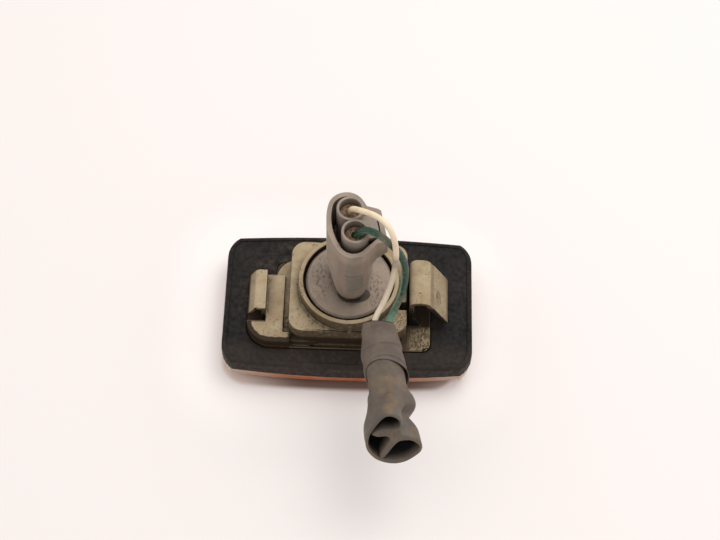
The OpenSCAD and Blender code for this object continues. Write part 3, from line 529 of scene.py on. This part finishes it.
# angle in degrees, then x and z of the outer and of the inner edge from the mouth's middle
sleeve_mouth = [
    (-8, 7.8, -1.6, 7.0, -1.8), (6, 7.0, 0.1, 6.2, -0.7), (14, 5.4, 1.2, 4.4, 0.3),
    (20, 3.4, 1.8, 2.3, 0.2), (24, 1.9, 2.2, 0.7, -0.4), (26.5, 1.4, 2.4, -1.0, -2.4),
    (28.5, 1.1, 2.5, -2.6, -5.0), (30, 1.1, 2.6, -4.0, -6.6), (31.5, 1.0, 2.6, -4.5, -5.2),
    (33, 0.9, 2.7, -3.1, -2.3), (34.5, 0.8, 2.8, -1.9, 0.5), (36, 0.8, 2.8, -3.8, 1.5),
    (37.5, 0.7, 2.9, -5.6, 1.1), (39, 0.7, 3.0, -7.2, 1.8), (40.5, 0.8, 3.1, -5.5, 2.9),
    (42, 0.8, 3.2, -3.4, 3.5), (44, 1.0, 3.5, -0.7, 3.7), (48, 1.4, 4.3, 0.7, 4.5),
    (56, 1.7, 6.3, 0.9, 6.2), (68, 0.7, 8.1, 0.0, 7.4), (85, -1.5, 9.1, -1.7, 8.1),
    (103, -3.7, 8.8, -3.3, 7.9), (122, -5.6, 7.0, -5.0, 6.2), (145, -7.4, 4.2, -6.6, 3.7),
    (165, -8.5, 1.5, -7.7, 1.5), (182, -8.9, -1.2, -8.1, -1.1), (200, -8.2, -3.8, -7.5, -3.2),
    (220, -6.2, -6.1, -5.7, -5.3), (240, -3.5, -7.4, -3.3, -6.5), (265, -0.1, -7.8, -0.1, -6.8),
    (290, 3.0, -7.0, 2.7, -6.0), (315, 5.5, -5.3, 5.1, -4.5), (335, 7.4, -3.4, 6.6, -2.9)]


def sleeve_point(u, a, off):
    """Point of the sleeve at station u and angle a, off millimetres out from its outer face: the middle
    line, plus the half width times cos(a) across and the half height times sin(a) up. Up is square
    to the middle line."""
    middle = smooth_line(sleeve_line, u)
    ahead = smooth_line(sleeve_line, u + 0.1) - smooth_line(sleeve_line, u - 0.1)
    up = unit(np.stack([np.zeros_like(u), ahead[..., 2], -ahead[..., 1]], axis=-1))
    across = ((smooth_line(sleeve_wide, u) + off) * np.cos(a))[..., None] * np.array([1.0, 0, 0])
    return middle + across + ((smooth_line(sleeve_high, u) + off) * np.sin(a))[..., None] * up


def mouth_columns(columns):
    """Angles, and outer and inner edge points, of columns spread evenly over the mouth's points, on a
    smooth closed curve through them."""
    rows = np.array(sleeve_mouth)
    turn = np.array([360, 0, 0, 0, 0])
    before, after = 2, 3
    ring = np.concatenate([rows[-before:] - turn, rows, rows[:after] + turn])
    found = smooth_line(ring, np.linspace(before, before + len(rows), columns, endpoint=False))
    return np.radians(found[:, 0]), found[:, 1:3], found[:, 3:5]


def bump_at(u, a, u0, a0, u_reach, a_reach):
    """Smooth hill of height 1 at station u0 and angle a0: e to the power of minus the squared distance,
    counted in reaches."""
    turn = np.angle(np.exp(1j * (a - a0)))
    return np.exp(-((u - u0) / u_reach) ** 2 - (turn / a_reach) ** 2)


def sleeve_relief(u, a):
    """Creases of the soft wall in millimetres: long folds that run slantwise down the tube, small
    cross wrinkles, and a kink on the right."""
    slantwise = 0.16 * np.sin(3 * a + 2.1 * u + 0.5) * np.clip(u - 2, 0, 2) / 2
    ripples = 0.07 * np.sin(9 * u + 2.2 * np.sin(2 * a)) * np.sin(2 * a + u)
    kink = 0.4 * bump_at(u, a, 4.85, math.radians(20), 0.4, 0.6)
    return slantwise + ripples + kink


def vinyl(outer_length):
    """Soft grey-brown plastic with brown and greenish stains, a painted bluish highlight on one fold,
    painted shade in its creases and black painted shade deep inside."""
    f = Finish("sleeve_vinyl", Roughness=0.5, Specular_IOR_Level=0.45)
    colour = f.mix(f.ramp(f.noise(9, detail=4, rough=0.6), 0.35, 0.68), paint("554c44"), paint("665a4b"))
    f.set("Base Color", f.coats(
        colour,
        (f.ramp(f.noise(5, detail=5, rough=0.65, seed=4), 0.47, 0.75), 0.75, "80654a"),
        (f.ramp(f.noise(7, detail=3, seed=6), 0.58, 0.75), 0.4, "525658"),
        # painted shade: darker in creases, and black on the inner wall past the lip
        (f.groove(2.5), 0.6, "2d2621"),
        # painted highlight: bluish on the fold near the mouth
        (f.near(painted_sheen_place, 1.5, 5.5), 0.4, "6d7377"),
        (f.ramp(f.unrolled(1), outer_length + 0.8, outer_length + 4.5), 1.0, "0f0c0c")))
    f.set("Roughness", f.ramp(f.noise(3, detail=4, seed=8), 0.3, 0.7, 0.42, 0.62))
    grain = f.bump(f.noise(0.5, detail=3), 0.03)
    f.set("Normal", f.bump(f.noise(2.5, detail=3, seed=3), 0.15, grain))
    return f


def add_sleeve():
    """Outer wall out to the cut end, over its round lip, and back along the inner wall: share goes from
    0 at the neck to 1 at the cut and back, and stop is each column's station at the cut. Towards it
    each column leaves the oval for its own point of the mouth, carried back along the tube, and a
    smooth step mixes the two. A waist is pressed into the right side."""
    a, outer_edge, inner_edge = mouth_columns(sleeve_columns)
    lip = np.linspace(0, np.pi, lip_rows + 2)[1:-1]
    share = np.r_[np.linspace(0, 1, outer_rows), np.ones(lip_rows), np.linspace(1, 0, inner_rows),
                  np.zeros(lip_rows)][:, None]
    inside = np.r_[np.zeros(outer_rows), (1 - np.cos(lip)) / 2, np.ones(inner_rows),
                   (1 + np.cos(lip)) / 2][:, None]
    push = np.r_[np.zeros(outer_rows), np.sin(lip), np.zeros(inner_rows),
                 -np.sin(lip)][:, None] * sleeve_t / 2
    edge = outer_edge + inside[..., None] * (inner_edge - outer_edge)
    edge_y = mouth_middle[1] + mouth_lean * edge[..., 1]
    station = len(sleeve_line) - 2
    station_y, end_y = sleeve_line[station][1], sleeve_line[station + 1][1]
    stop = station - (edge_y - station_y) / (station_y - end_y)
    u = share * stop
    leave = np.clip((u - stop[0] + mouth_from) / (mouth_from - 0.15), 0, 1)
    leave = leave * leave * (3 - 2 * leave)
    relief = sleeve_relief(u, a) * np.clip(share * 12, 0, 1) * (1 - leave)
    oval = sleeve_point(u, a + 0 * u, relief - sleeve_t * inside)
    end = np.stack([mouth_middle[0] + edge[..., 0], edge_y, mouth_middle[2] + edge[..., 1]], axis=-1)
    end = end + smooth_line(sleeve_line, u) - smooth_line(sleeve_line, stop)
    points = oval + leave[..., None] * (end - oval)
    points[..., 1] -= push
    points[..., 0] -= waist * bump_at(u, a, waist_at, waist_angle, 0.32, 0.8)
    lowest = points[:, sleeve_columns * 3 // 4]
    run = np.r_[0, np.cumsum(np.linalg.norm(np.diff(lowest, axis=0), axis=1))]
    finish = vinyl(run[outer_rows])
    piece = shell("sleeve_tube", points, tube_map(sleeve_columns, run), finish, closed=True)
    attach(piece, "root")
    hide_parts("sleeve")
    return piece


sleeve = add_sleeve()

# Tape
# Grey cloth-like tape wound slantwise round the sleeve's neck. Its last edge hugs the sleeve, but
# stands open like a lip at the right.

tape_t = 0.4
tape_start = 0.1
tape_end = 3.3
tape_slant = 0.6
tape_flare = 0.9
tape_turns = 2.4
tape_columns = 160
tape_rows = 110
weave_pitch = 0.35


def tape_cloth():
    """Dull grey tape, brownish in places, with painted shade along its edges and wherever surfaces stand
    close. Its weave is the product of a sine along and a sine across."""
    f = Finish("tape_cloth", Roughness=0.55, Specular_IOR_Level=0.4)
    tone = f.ramp(f.noise(6, detail=4, rough=0.6, seed=1), 0.35, 0.7)
    f.set("Base Color", f.coats(
        f.mix(tone, paint("5c5149"), paint("6e6155")),
        (f.ramp(f.noise(4, detail=5, seed=5), 0.52, 0.72), 0.6, "775f47"),
        # painted shade where the turns and the sleeve stand close
        (f.groove(2.0), 0.7, "3a2c22"),
        (f.groove(0.7, 0.7), 0.7, "2b211a")))
    threads = [f.math("SINE", f.times(f.axis(index), 2 * math.pi / weave_pitch)) for index in (0, 1)]
    weave = f.times(*threads)
    f.set("Normal", f.bump(weave, 0.012, f.bump(f.noise(1.8, detail=4), 0.12)))
    return f


def add_tape():
    """Wall between two offsets of the sleeve. The outer one steps down where each turn ends:
    a saw wave along a helix, with its steps rounded over. The far end flares at its right side."""
    back_rows = tape_rows // 2
    a = np.linspace(0, 2 * np.pi, tape_columns, endpoint=False)[None, :]
    share = np.r_[np.linspace(0, 1, tape_rows), np.linspace(1, 0, back_rows)][:, None]
    outer = np.r_[np.ones(tape_rows), np.zeros(back_rows)][:, None]
    far_end = tape_end - tape_slant * np.cos(a - np.pi / 2)
    u = tape_start + share * (far_end - tape_start)
    phase = (share ** 1.6 * tape_turns - a / (2 * np.pi) + 0.15) % 1.0
    step = np.clip(phase / 0.9, 0, 1) * np.clip((1 - phase) / 0.08, 0, 1)
    thick = tape_t * (0.15 + 0.85 * step)
    creases = 0.12 * np.sin(5 * u + 3 * np.sin(a)) * np.sin(3 * a + 1.3 * u) * share
    flare = tape_flare * share ** 3 * (0.04 + 0.96 * np.maximum(np.cos(a), 0) ** 3)
    points = sleeve_point(u, a + 0 * u, 0.1 + flare + outer * thick + creases)
    run = np.r_[0, np.cumsum(np.linalg.norm(np.diff(points[:, 0], axis=0), axis=1))]
    piece = shell("neck_tape", points, tube_map(tape_columns, run), tape_cloth(), closed=True)
    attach(piece, "root")
    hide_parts("sleeve_tape")
    return piece


tape = add_tape()

# Housing
# One moulding in cream-grey plastic: flange, stepped plinth with its pad, boss and socket collar,
# fixed hook and spring clip. It has yellowed, and dirt has settled in its grooves, which painted shade
# darkens further.


def moulding(node, name, finish, edge, angle=30):
    """Copy of a CAD node's mesh with its triangles joined and its edges rounded to a width of edge
    millimetres where they turn by more than the angle. With a width of 0 they stay sharp, and the
    finish rounds their shading."""
    source = nodes[node].data
    places = np.empty(len(source.vertices) * 3, np.float32)
    source.vertices.foreach_get("co", places)
    corners = np.empty(len(source.loops), np.int32)
    source.loops.foreach_get("vertex_index", corners)
    mesh = bpy.data.meshes.new(name)
    mesh.from_pydata(places.reshape(-1, 3).tolist(), [], corners.reshape(-1, 3).tolist())
    body = bmesh.new()
    body.from_mesh(mesh)
    bmesh.ops.remove_doubles(body, verts=body.verts, dist=2e-6)
    body.to_mesh(mesh)
    body.free()
    mesh.shade_smooth()
    piece = bpy.data.objects.new(name, mesh)
    bpy.context.scene.collection.objects.link(piece)
    if edge:
        bevel = piece.modifiers.new("round_edges", "BEVEL")
        bevel.width = edge * MM
        bevel.segments = 3
        bevel.limit_method = "ANGLE"
        bevel.angle_limit = math.radians(angle)
        bevel.use_clamp_overlap = False
    else:
        mesh.set_sharp_from_angle(angle=math.radians(angle))
    even = piece.modifiers.new("even_shading", "WEIGHTED_NORMAL")
    even.keep_sharp = not edge
    mesh.materials.append(finish.material)
    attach(piece, "root")
    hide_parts(node)
    return piece


# heights of the gasket's back inside its lip, of the pad and of the boss's top
back_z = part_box("gasket")[1][2] / MM - 0.4
pad_z = back_z + 4.3
boss_z = back_z + 9.5
hook_x = -26.0  # right side of the hook's hanging lip
groove_x = (-21.6, -18.2)  # sides of the groove between the hook and the boss
ledge_y = -13.8  # front of the boss, above the ledge
corner_middle = (-24.3, -9.2)  # middle of the plinth's round front left corner
corner_r = 6.9
clip_x = 19.6  # left and front sides of the space under the clip
clip_y = -8.2
clip_leg_x = 25.2  # inner side of the clip's outer leg


def housing_tone(f):
    """Cream-grey in large soft clouds, with yellowed, pinkish and pale patches, and a painted pale
    highlight along the edges."""
    colour = f.mix(f.ramp(f.noise(14, detail=4, rough=0.6), 0.35, 0.68), paint("b5a588"), paint("a28f71"))
    return f.coats(
        colour,
        (f.ramp(f.noise(4, detail=5, rough=0.65, seed=2), 0.48, 0.72), 0.6, "8b765a"),
        (f.ramp(f.noise(3, detail=4, rough=0.6, seed=13), 0.52, 0.7), 0.45, "a98f78"),
        (f.ramp(f.noise(5, detail=4, rough=0.6, seed=11), 0.58, 0.75), 0.5, "cabc9e"),
        # painted highlight: pale along the edges
        (f.edge_highlight(0.5), 0.6, "cdbf9f"))


def housing_grime_and_shade(f, colour):
    """Brown film on walls, partly dirt and partly painted shade, thickest on those that face the front
    and on those below the pad, then dark dirt and painted shade in the grooves, thinner in the one
    beside the pad. Fine clouds make both uneven."""
    cloud = f.ramp(f.noise(1.4, detail=5, rough=0.7, seed=4), 0.3, 0.62, 0.55, 1.35)
    # painted shade with a brown film: walls darker than tops, most where they face the front or lie below
    # the pad
    wall = f.faces(2, 0.8, 0.25)
    front = f.times(wall, f.faces(1, 0.0, -0.7))
    below = f.times(wall, f.past(2, pad_z + 0.6, pad_z - 0.2))
    wall_film_and_shade = f.plus(f.times(wall, cloud, 0.4), f.times(front, 0.5), f.times(below, 0.6))
    left, right = groove_x
    beside_pad = f.times(f.past(0, left, left + 0.7), f.past(0, right, right - 0.3),
                         f.past(1, -10, -2), f.past(2, pad_z + 2, pad_z))
    # dirt and painted shade in grooves and corners, from occlusion
    dirt_and_shade = f.plus(f.groove(3.5, 1.2), f.times(f.groove(1.2), 0.5))
    dirt_and_shade = f.times(dirt_and_shade, f.without(f.times(beside_pad, 0.6)), cloud, 1.25)
    return f.coats(colour, (f.math("MINIMUM", wall_film_and_shade, 0.95), 1.0, "4a3d2e"),
                   (f.math("MINIMUM", dirt_and_shade, 0.94), 1.0, "30251a"))


def housing_shade_and_dirt(f, colour):
    """Places that are dark all over, each a product of soft edges: outside the plinth's round corner,
    where noise makes the edge ragged, on the front ledge, and painted shadow under the clip, inside
    it and under the hook. The bend of the clip's leg has a brown line, and a smudge lies beside it."""
    outward = [f.most(f.math("SUBTRACT", middle, f.axis(index)), 0.0)
               for index, middle in enumerate(corner_middle)]
    from_corner = f.math("SQRT", f.plus(*(f.times(part, part) for part in outward)))
    ragged = f.plus(from_corner, f.times(f.noise(1.5, detail=4, seed=15), 0.9))
    above_back = f.past(2, back_z + 1.0, back_z + 2.0)
    margin = f.times(f.ramp(ragged, corner_r - 0.2, corner_r + 0.2), f.past(2, pad_z + 1.5, pad_z + 0.5),
                     f.past(0, groove_x[1] + 0.6, groove_x[1] - 0.2), above_back,
                     f.past(1, -9.9, -10.3))
    # painted shadow under the clip and inside it
    under_clip = f.times(f.past(0, clip_x - 0.4, clip_x), f.past(2, back_z + 13.2, back_z + 11.5),
                         f.faces(0, 0.5, 0.3), f.past(1, clip_y - 0.6, clip_y + 0.2))
    in_clip = f.times(f.past(0, clip_x - 0.3, clip_x), f.past(0, clip_leg_x + 0.4, clip_leg_x),
                      f.past(2, back_z + 10, back_z + 9), f.past(1, clip_y - 0.4, clip_y),
                      f.past(2, back_z + 0.6, back_z + 1.0))
    ledge = f.times(f.past(0, -19.2, -18.6), f.past(1, ledge_y, ledge_y - 0.6),
                    f.past(2, pad_z + 1.2, pad_z + 0.4), above_back)
    bend = f.times(f.past(0, 25.9, 26.3), f.past(0, 27.2, 26.8), f.faces(2, 0.2, 0.4),
                   f.past(2, pad_z, pad_z + 2))
    smudge = f.times(f.near((28.6, -2.5, boss_z), 1.0, 3.4, (1.6, 0.7, 0.5)),
                     f.noise(1.3, detail=4, seed=21))
    # painted shadow under the hook's overhang
    under_hook = f.times(f.past(0, hook_x, hook_x - 0.3), f.past(2, pad_z + 0.6, pad_z - 0.2),
                         f.past(1, -10.6, -10.0))
    return f.coats(colour, (margin, 0.97, "30261c"), (under_clip, 0.95, "14100c"),
                   (in_clip, 0.9, "14100c"), (ledge, 0.85, "2f261c"), (bend, 0.45, "5f523f"),
                   (f.ramp(smudge, 0.3, 0.6), 0.6, "4c3f30"), (under_hook, 0.93, "2e251d"))


def housing_specks(f):
    """Mask of brown specks: the peaks of a fine noise, within the patches of a coarse one and at four
    places on the pad and the boss."""
    peaks = f.ramp(f.noise(0.8, detail=4, rough=0.7, seed=5), 0.56, 0.64)
    patch = f.ramp(f.noise(5, detail=3, seed=7), 0.45, 0.66)
    places = f.most(f.near((-12.5, -9, boss_z), 2, 8, (1.1, 0.7, 1)),
                    f.times(f.near((-25, -13.5, pad_z), 3, 8), 0.8),
                    f.near((-15.2, 0, boss_z), 0.5, 1.5, (1, 0.22, 1)),
                    f.near((17, -12.5, boss_z), 3, 5.5, (1, 1, 0.5)))
    return f.most(f.times(peaks, patch), f.times(peaks, places))


def housing_scratches(f, colour):
    """Rubbed brown grain on the boss's front right corner, and dirt on the level top of the lowest
    step, which short fine scratches have bared at its front right."""
    corner = f.times(f.near((17.5, -13, boss_z), 4, 6.5, (1, 1, 0.6)), f.faces(2, 0.7, 0.9),
                     f.ramp(f.noise(0.5, detail=5, rough=0.75, seed=19), 0.38, 0.62))
    low = f.times(f.past(2, back_z + 1.5, back_z + 0.9), f.faces(2, 0.5, 0.9))
    stipple = f.noise(0.45, detail=5, rough=0.75, stretch=(1, 0.35, 1), seed=9)
    bare = f.times(f.ramp(stipple, 0.40, 0.62, 0.05, 0.93), f.past(0, 18.0, 21.5), f.past(1, -7.6, -9.6))
    return f.coats(colour, (corner, 0.75, "5f4c39"), (low, f.math("SUBTRACT", 0.93, bare), "392d21"))


def aged_plastic():
    """Cream-grey plastic that has yellowed. Its walls, grooves and corners are dark with grime and painted
    shade, its edges carry a painted pale highlight, and brown specks stand up as a crust."""
    f = Finish("aged_cream_plastic", Roughness=0.55, Specular_IOR_Level=0.12)
    specks = housing_specks(f)
    colour = housing_shade_and_dirt(f, housing_grime_and_shade(f, housing_tone(f)))
    colour = f.coats(colour, (specks, 0.8, "45331f"))
    f.set("Base Color", housing_scratches(f, colour))
    f.set("Roughness", f.ramp(f.noise(2, detail=4, seed=8), 0.3, 0.7, 0.45, 0.7))
    grain = f.bump(f.noise(0.35, detail=2), 0.02)
    crust = f.bump(f.times(specks, 0.5), 0.1, grain)
    f.set("Normal", f.bump(f.noise(6, detail=2, seed=3), 0.12, crust))
    return f


moulding("housing", "housing_moulding", aged_plastic(), 0.35)

# Gasket
# A rubber tray, moulded in one piece, that wraps the flange and the lens. Its back is flat inside
# a low rounded lip, and a thin film of dust lies on it, thicker round the plinth.


def dusty_rubber():
    """Black rubber, browner along its front, with a film of brown dust near the plinth and fine pale
    specks all over."""
    f = Finish("dusty_rubber", Roughness=0.7, Specular_IOR_Level=0.22)
    dusty = f.times(f.near((-3, 0, back_z), 20, 31, (0.8, 1, 1)),
                    f.ramp(f.noise(2.2, detail=5, rough=0.7, seed=2), 0.42, 0.7))
    f.set("Base Color", f.coats(
        f.mix(f.ramp(f.noise(11, detail=4, rough=0.6), 0.35, 0.7), paint("13100f"), paint("201b19")),
        (dusty, 0.3, "6e5c48"),
        (f.past(1, -12, -19), 0.5, "3b322c"),
        (f.ramp(f.noise(0.45, detail=4, rough=0.75, seed=4), 0.64, 0.72), 0.55, "7d6f60")))
    f.set("Roughness", f.ramp(f.noise(1.5, detail=4, seed=6), 0.35, 0.7, 0.55, 0.85))
    f.set("Normal", f.bump(f.noise(0.3, detail=3), 0.04, f.bump(f.noise(3, detail=3, seed=5), 0.06)))
    return f


rubber = dusty_rubber()
moulding("gasket", "gasket_moulding", rubber, 0.2, angle=25)

# Lens
# The clear amber moulding that the lamp rests on, polished outside. Only its lower edge shows,
# under the gasket's skirt.


def dress(node, finish):
    """Gives a CAD node its finish and leaves its shape."""
    nodes[node].data.materials.clear()
    nodes[node].data.materials.append(finish.material)


def amber():
    """Clear amber plastic, faintly uneven, with painted light: deep in the middle of its length and pale
    at the ends.
    """
    f = Finish("amber_plastic", Roughness=0.16, IOR=1.49, Transmission_Weight=0.3)
    # painted light: the lens is paler towards its ends
    ends = f.ramp(f.math("ABSOLUTE", f.axis(0)), 14, 37)
    colour = f.mix(f.ramp(f.noise(6, detail=3), 0.35, 0.7), paint("d27a4c"), paint("bd6840"))
    f.set("Base Color", f.coats(colour, (ends, 0.9, "d9bca6")))
    f.set("Normal", f.bump(f.noise(4, detail=2), 0.05))
    return f


dress("lens", amber())

# Bulb holder
# A taupe-grey moulding that turns into the socket. Its round disc fills the collar, and the tall
# oval shroud on it takes the plug. Grime lies on the disc at both sides of the shroud.

# heights of the shroud's rim, of the disc's top at the shroud's foot and of the line on its near face
rim_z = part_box("bulb_holder")[1][2] / MM
stem_z = rim_z - 33.8
line_z = stem_z + 22.0


def shroud_marks(f):
    """Layers on the shroud, each a product of soft edges: a greenish panel on its near face with a
    brown line above it, pinkish corners beside both, darker brown on the near slope under the rim,
    faint upright streaks and a painted pale highlight along its edges."""
    high = f.past(2, stem_z + 2, stem_z + 12)
    near_face = f.times(high, f.faces(1, -0.86, -0.96))
    panel = f.times(near_face, f.past(2, line_z + 0.5, line_z - 0.5))
    corners = f.times(high, f.faces(1, -0.6, -0.8), f.faces(1, -0.96, -0.9))
    line = f.times(near_face, f.past(2, line_z - 0.7, line_z - 0.1), f.past(2, line_z + 1.0, line_z + 0.4))
    slope = f.times(f.past(2, rim_z - 2, rim_z - 6), f.faces(1, -0.3, -0.8), f.faces(2, 0.5, 0.3))
    streaks = f.ramp(f.noise(1.6, detail=4, stretch=(1, 1, 0.15), seed=5), 0.5, 0.72)
    return [(panel, 0.5, "737567"), (corners, 0.6, "a98f82"), (line, 0.6, "544b41"),
            (slope, 0.4, "5a5045"), (streaks, 0.3, "75695b"),
            # painted highlight along the shroud's upper edges
            (f.times(f.edge_highlight(0.5), high), 0.5, "b3a393")]


def disc_marks(f):
    """Layers on the disc: brown specks at both sides of the shroud, painted shade in the recess at its
    foot and a painted shadow in a ring round it."""
    level = f.times(f.past(2, stem_z + 0.6, stem_z + 0.3), f.faces(2, 0.5, 0.9))
    sides = f.most(f.near((-8.3, 1, stem_z), 2.0, 6.0, (1.2, 0.55, 1)),
                   f.near((8.5, -3, stem_z), 1.5, 5.5, (1.2, 0.6, 1)))
    peaks = f.ramp(f.noise(0.9, detail=5, rough=0.75, stretch=(1, 0.6, 1), seed=3), 0.46, 0.62)
    # painted shade in the recess at the shroud's foot
    foot = f.times(f.faces(2, 0.9, 0.6), f.past(2, stem_z + 2.9, stem_z + 2.3),
                   f.past(2, stem_z - 0.1, stem_z + 0.1))
    # painted shadow on the disc round the shroud's foot
    ring = f.times(f.near((1.7, -4.7, stem_z), 2.9, 3.3, (0.6, 1, 1)),
                   f.past(2, stem_z + 2.5, stem_z + 2.2))
    return [(f.times(level, sides, peaks), 0.85, "614934"), (foot, 0.9, "211a14"),
            (ring, 0.85, "2a2119")]


def holder_plastic():
    """Taupe-grey plastic under the marks of the shroud and the disc, with dirt and painted shade in all
    grooves but little on the rim."""
    f = Finish("holder_plastic", Roughness=0.5, Specular_IOR_Level=0.4)
    rim = f.times(f.faces(2, 0.7, 0.9), f.past(2, rim_z - 1.5, rim_z - 0.5))
    cloud = f.ramp(f.noise(1.2, detail=5, rough=0.7, seed=4), 0.3, 0.62, 0.6, 1.4)
    # dirt and painted shade in grooves, from occlusion
    dirt_and_shade = f.times(f.groove(3.0, 1.2), cloud, f.without(f.times(rim, 0.8)))
    f.set("Base Color", f.coats(
        f.mix(f.ramp(f.noise(10, detail=4, rough=0.6), 0.35, 0.68), paint("8b7d70"), paint("a08f7e")),
        *shroud_marks(f), *disc_marks(f),
        (f.math("MINIMUM", dirt_and_shade, 0.9), 1.0, "33281e")))
    f.set("Roughness", f.ramp(f.noise(2, detail=4, seed=8), 0.3, 0.7, 0.4, 0.62))
    grain = f.bump(f.noise(0.35, detail=2), 0.02, f.rounded(0.3))
    f.set("Normal", f.bump(f.noise(5, detail=2, seed=3), 0.1, grain))
    return f


moulding("bulb_holder", "holder_moulding", holder_plastic(), 0)
dress("holder_seal", rubber)

# Plug
# The plug's grey body stands out of the shroud as two round tubes that touch, with its latch plate
# beside them. A brown grommet sits in the mouth of each tube, round its wire.


def plug_plastic():
    """Grey plastic with a little brown dirt and painted shade in its grooves."""
    f = Finish("plug_plastic", Roughness=0.5, Specular_IOR_Level=0.4)
    cloud = f.ramp(f.noise(1.2, detail=5, rough=0.7, seed=4), 0.3, 0.62, 0.6, 1.4)
    # dirt and painted shade in grooves, from occlusion
    dirt_and_shade = f.times(f.groove(2.5, 1.1), cloud, 0.5)
    f.set("Base Color", f.coats(
        f.mix(f.ramp(f.noise(7, detail=4, rough=0.6), 0.35, 0.68), paint("85796e"), paint("988a7c")),
        (f.math("MINIMUM", dirt_and_shade, 0.6), 1.0, "4d413a")))
    f.set("Normal", f.bump(f.noise(0.35, detail=2), 0.02, f.bump(f.noise(4, detail=2, seed=3), 0.08)))
    return f


def brown_rubber():
    """Reddish brown rubber under a rough crust of beige grime, with painted shade in its grooves."""
    f = Finish("brown_seal_rubber", Roughness=0.7, Specular_IOR_Level=0.3)
    crust = f.ramp(f.noise(0.8, detail=5, rough=0.75), 0.4, 0.62)
    colour = f.mix(crust, paint("5a4433"), paint("8a745c"))
    # painted shade in grooves, from occlusion
    f.set("Base Color", f.coats(colour, (f.groove(1.5), 0.3, "2a1f17")))
    f.set("Normal", f.bump(f.noise(0.7, detail=5, rough=0.7), 0.25))
    return f


moulding("plug_housing", "plug_moulding", plug_plastic(), 0.2)
seal_finish = brown_rubber()
for seal_node in ("wire_seal_white", "wire_seal_green", "plug_seal"):
    dress(seal_node, seal_finish)

# Bulb, contacts and terminals
# A wedge-base capsule bulb hangs in the holder, between two sprung brass contacts whose blades stand
# into the plug's crimped terminals. All of them are inside the closed lamp.

tarnish = 0.6


def clear_glass():
    """Clear thin glass."""
    return Finish("clear_glass", Base_Color=(0.95, 0.97, 0.97, 1), Roughness=0.03, IOR=1.5,
                  Transmission_Weight=1.0)


def drawn_metal(name, colour, rough):
    """Drawn or stamped metal whose tarnish darkens it in places to a share of its colour."""
    f = Finish(name, Metallic=1.0)
    dark = tuple(tarnish * c for c in colour[:3]) + (1,)
    f.set("Base Color", f.mix(f.ramp(f.noise(1.5, detail=4), 0.4, 0.7), colour, dark))
    f.set("Roughness", f.ramp(f.noise(0.8, detail=3, seed=2), 0.3, 0.7, rough - 0.08, rough + 0.12))
    return f


dress("bulb", clear_glass())
lead_metal = drawn_metal("lead_metal", paint("b9b3a6"), 0.35)
for lead_node in ("bulb_lead_left", "bulb_lead_right"):
    dress(lead_node, lead_metal)
dress("bulb_filament", drawn_metal("filament_metal", paint("8b8680"), 0.5))
brass = drawn_metal("dull_brass", paint("c79f5a"), 0.38)
for contact_node in ("contact_left", "contact_right", "terminal_white", "terminal_green"):
    dress(contact_node, brass)
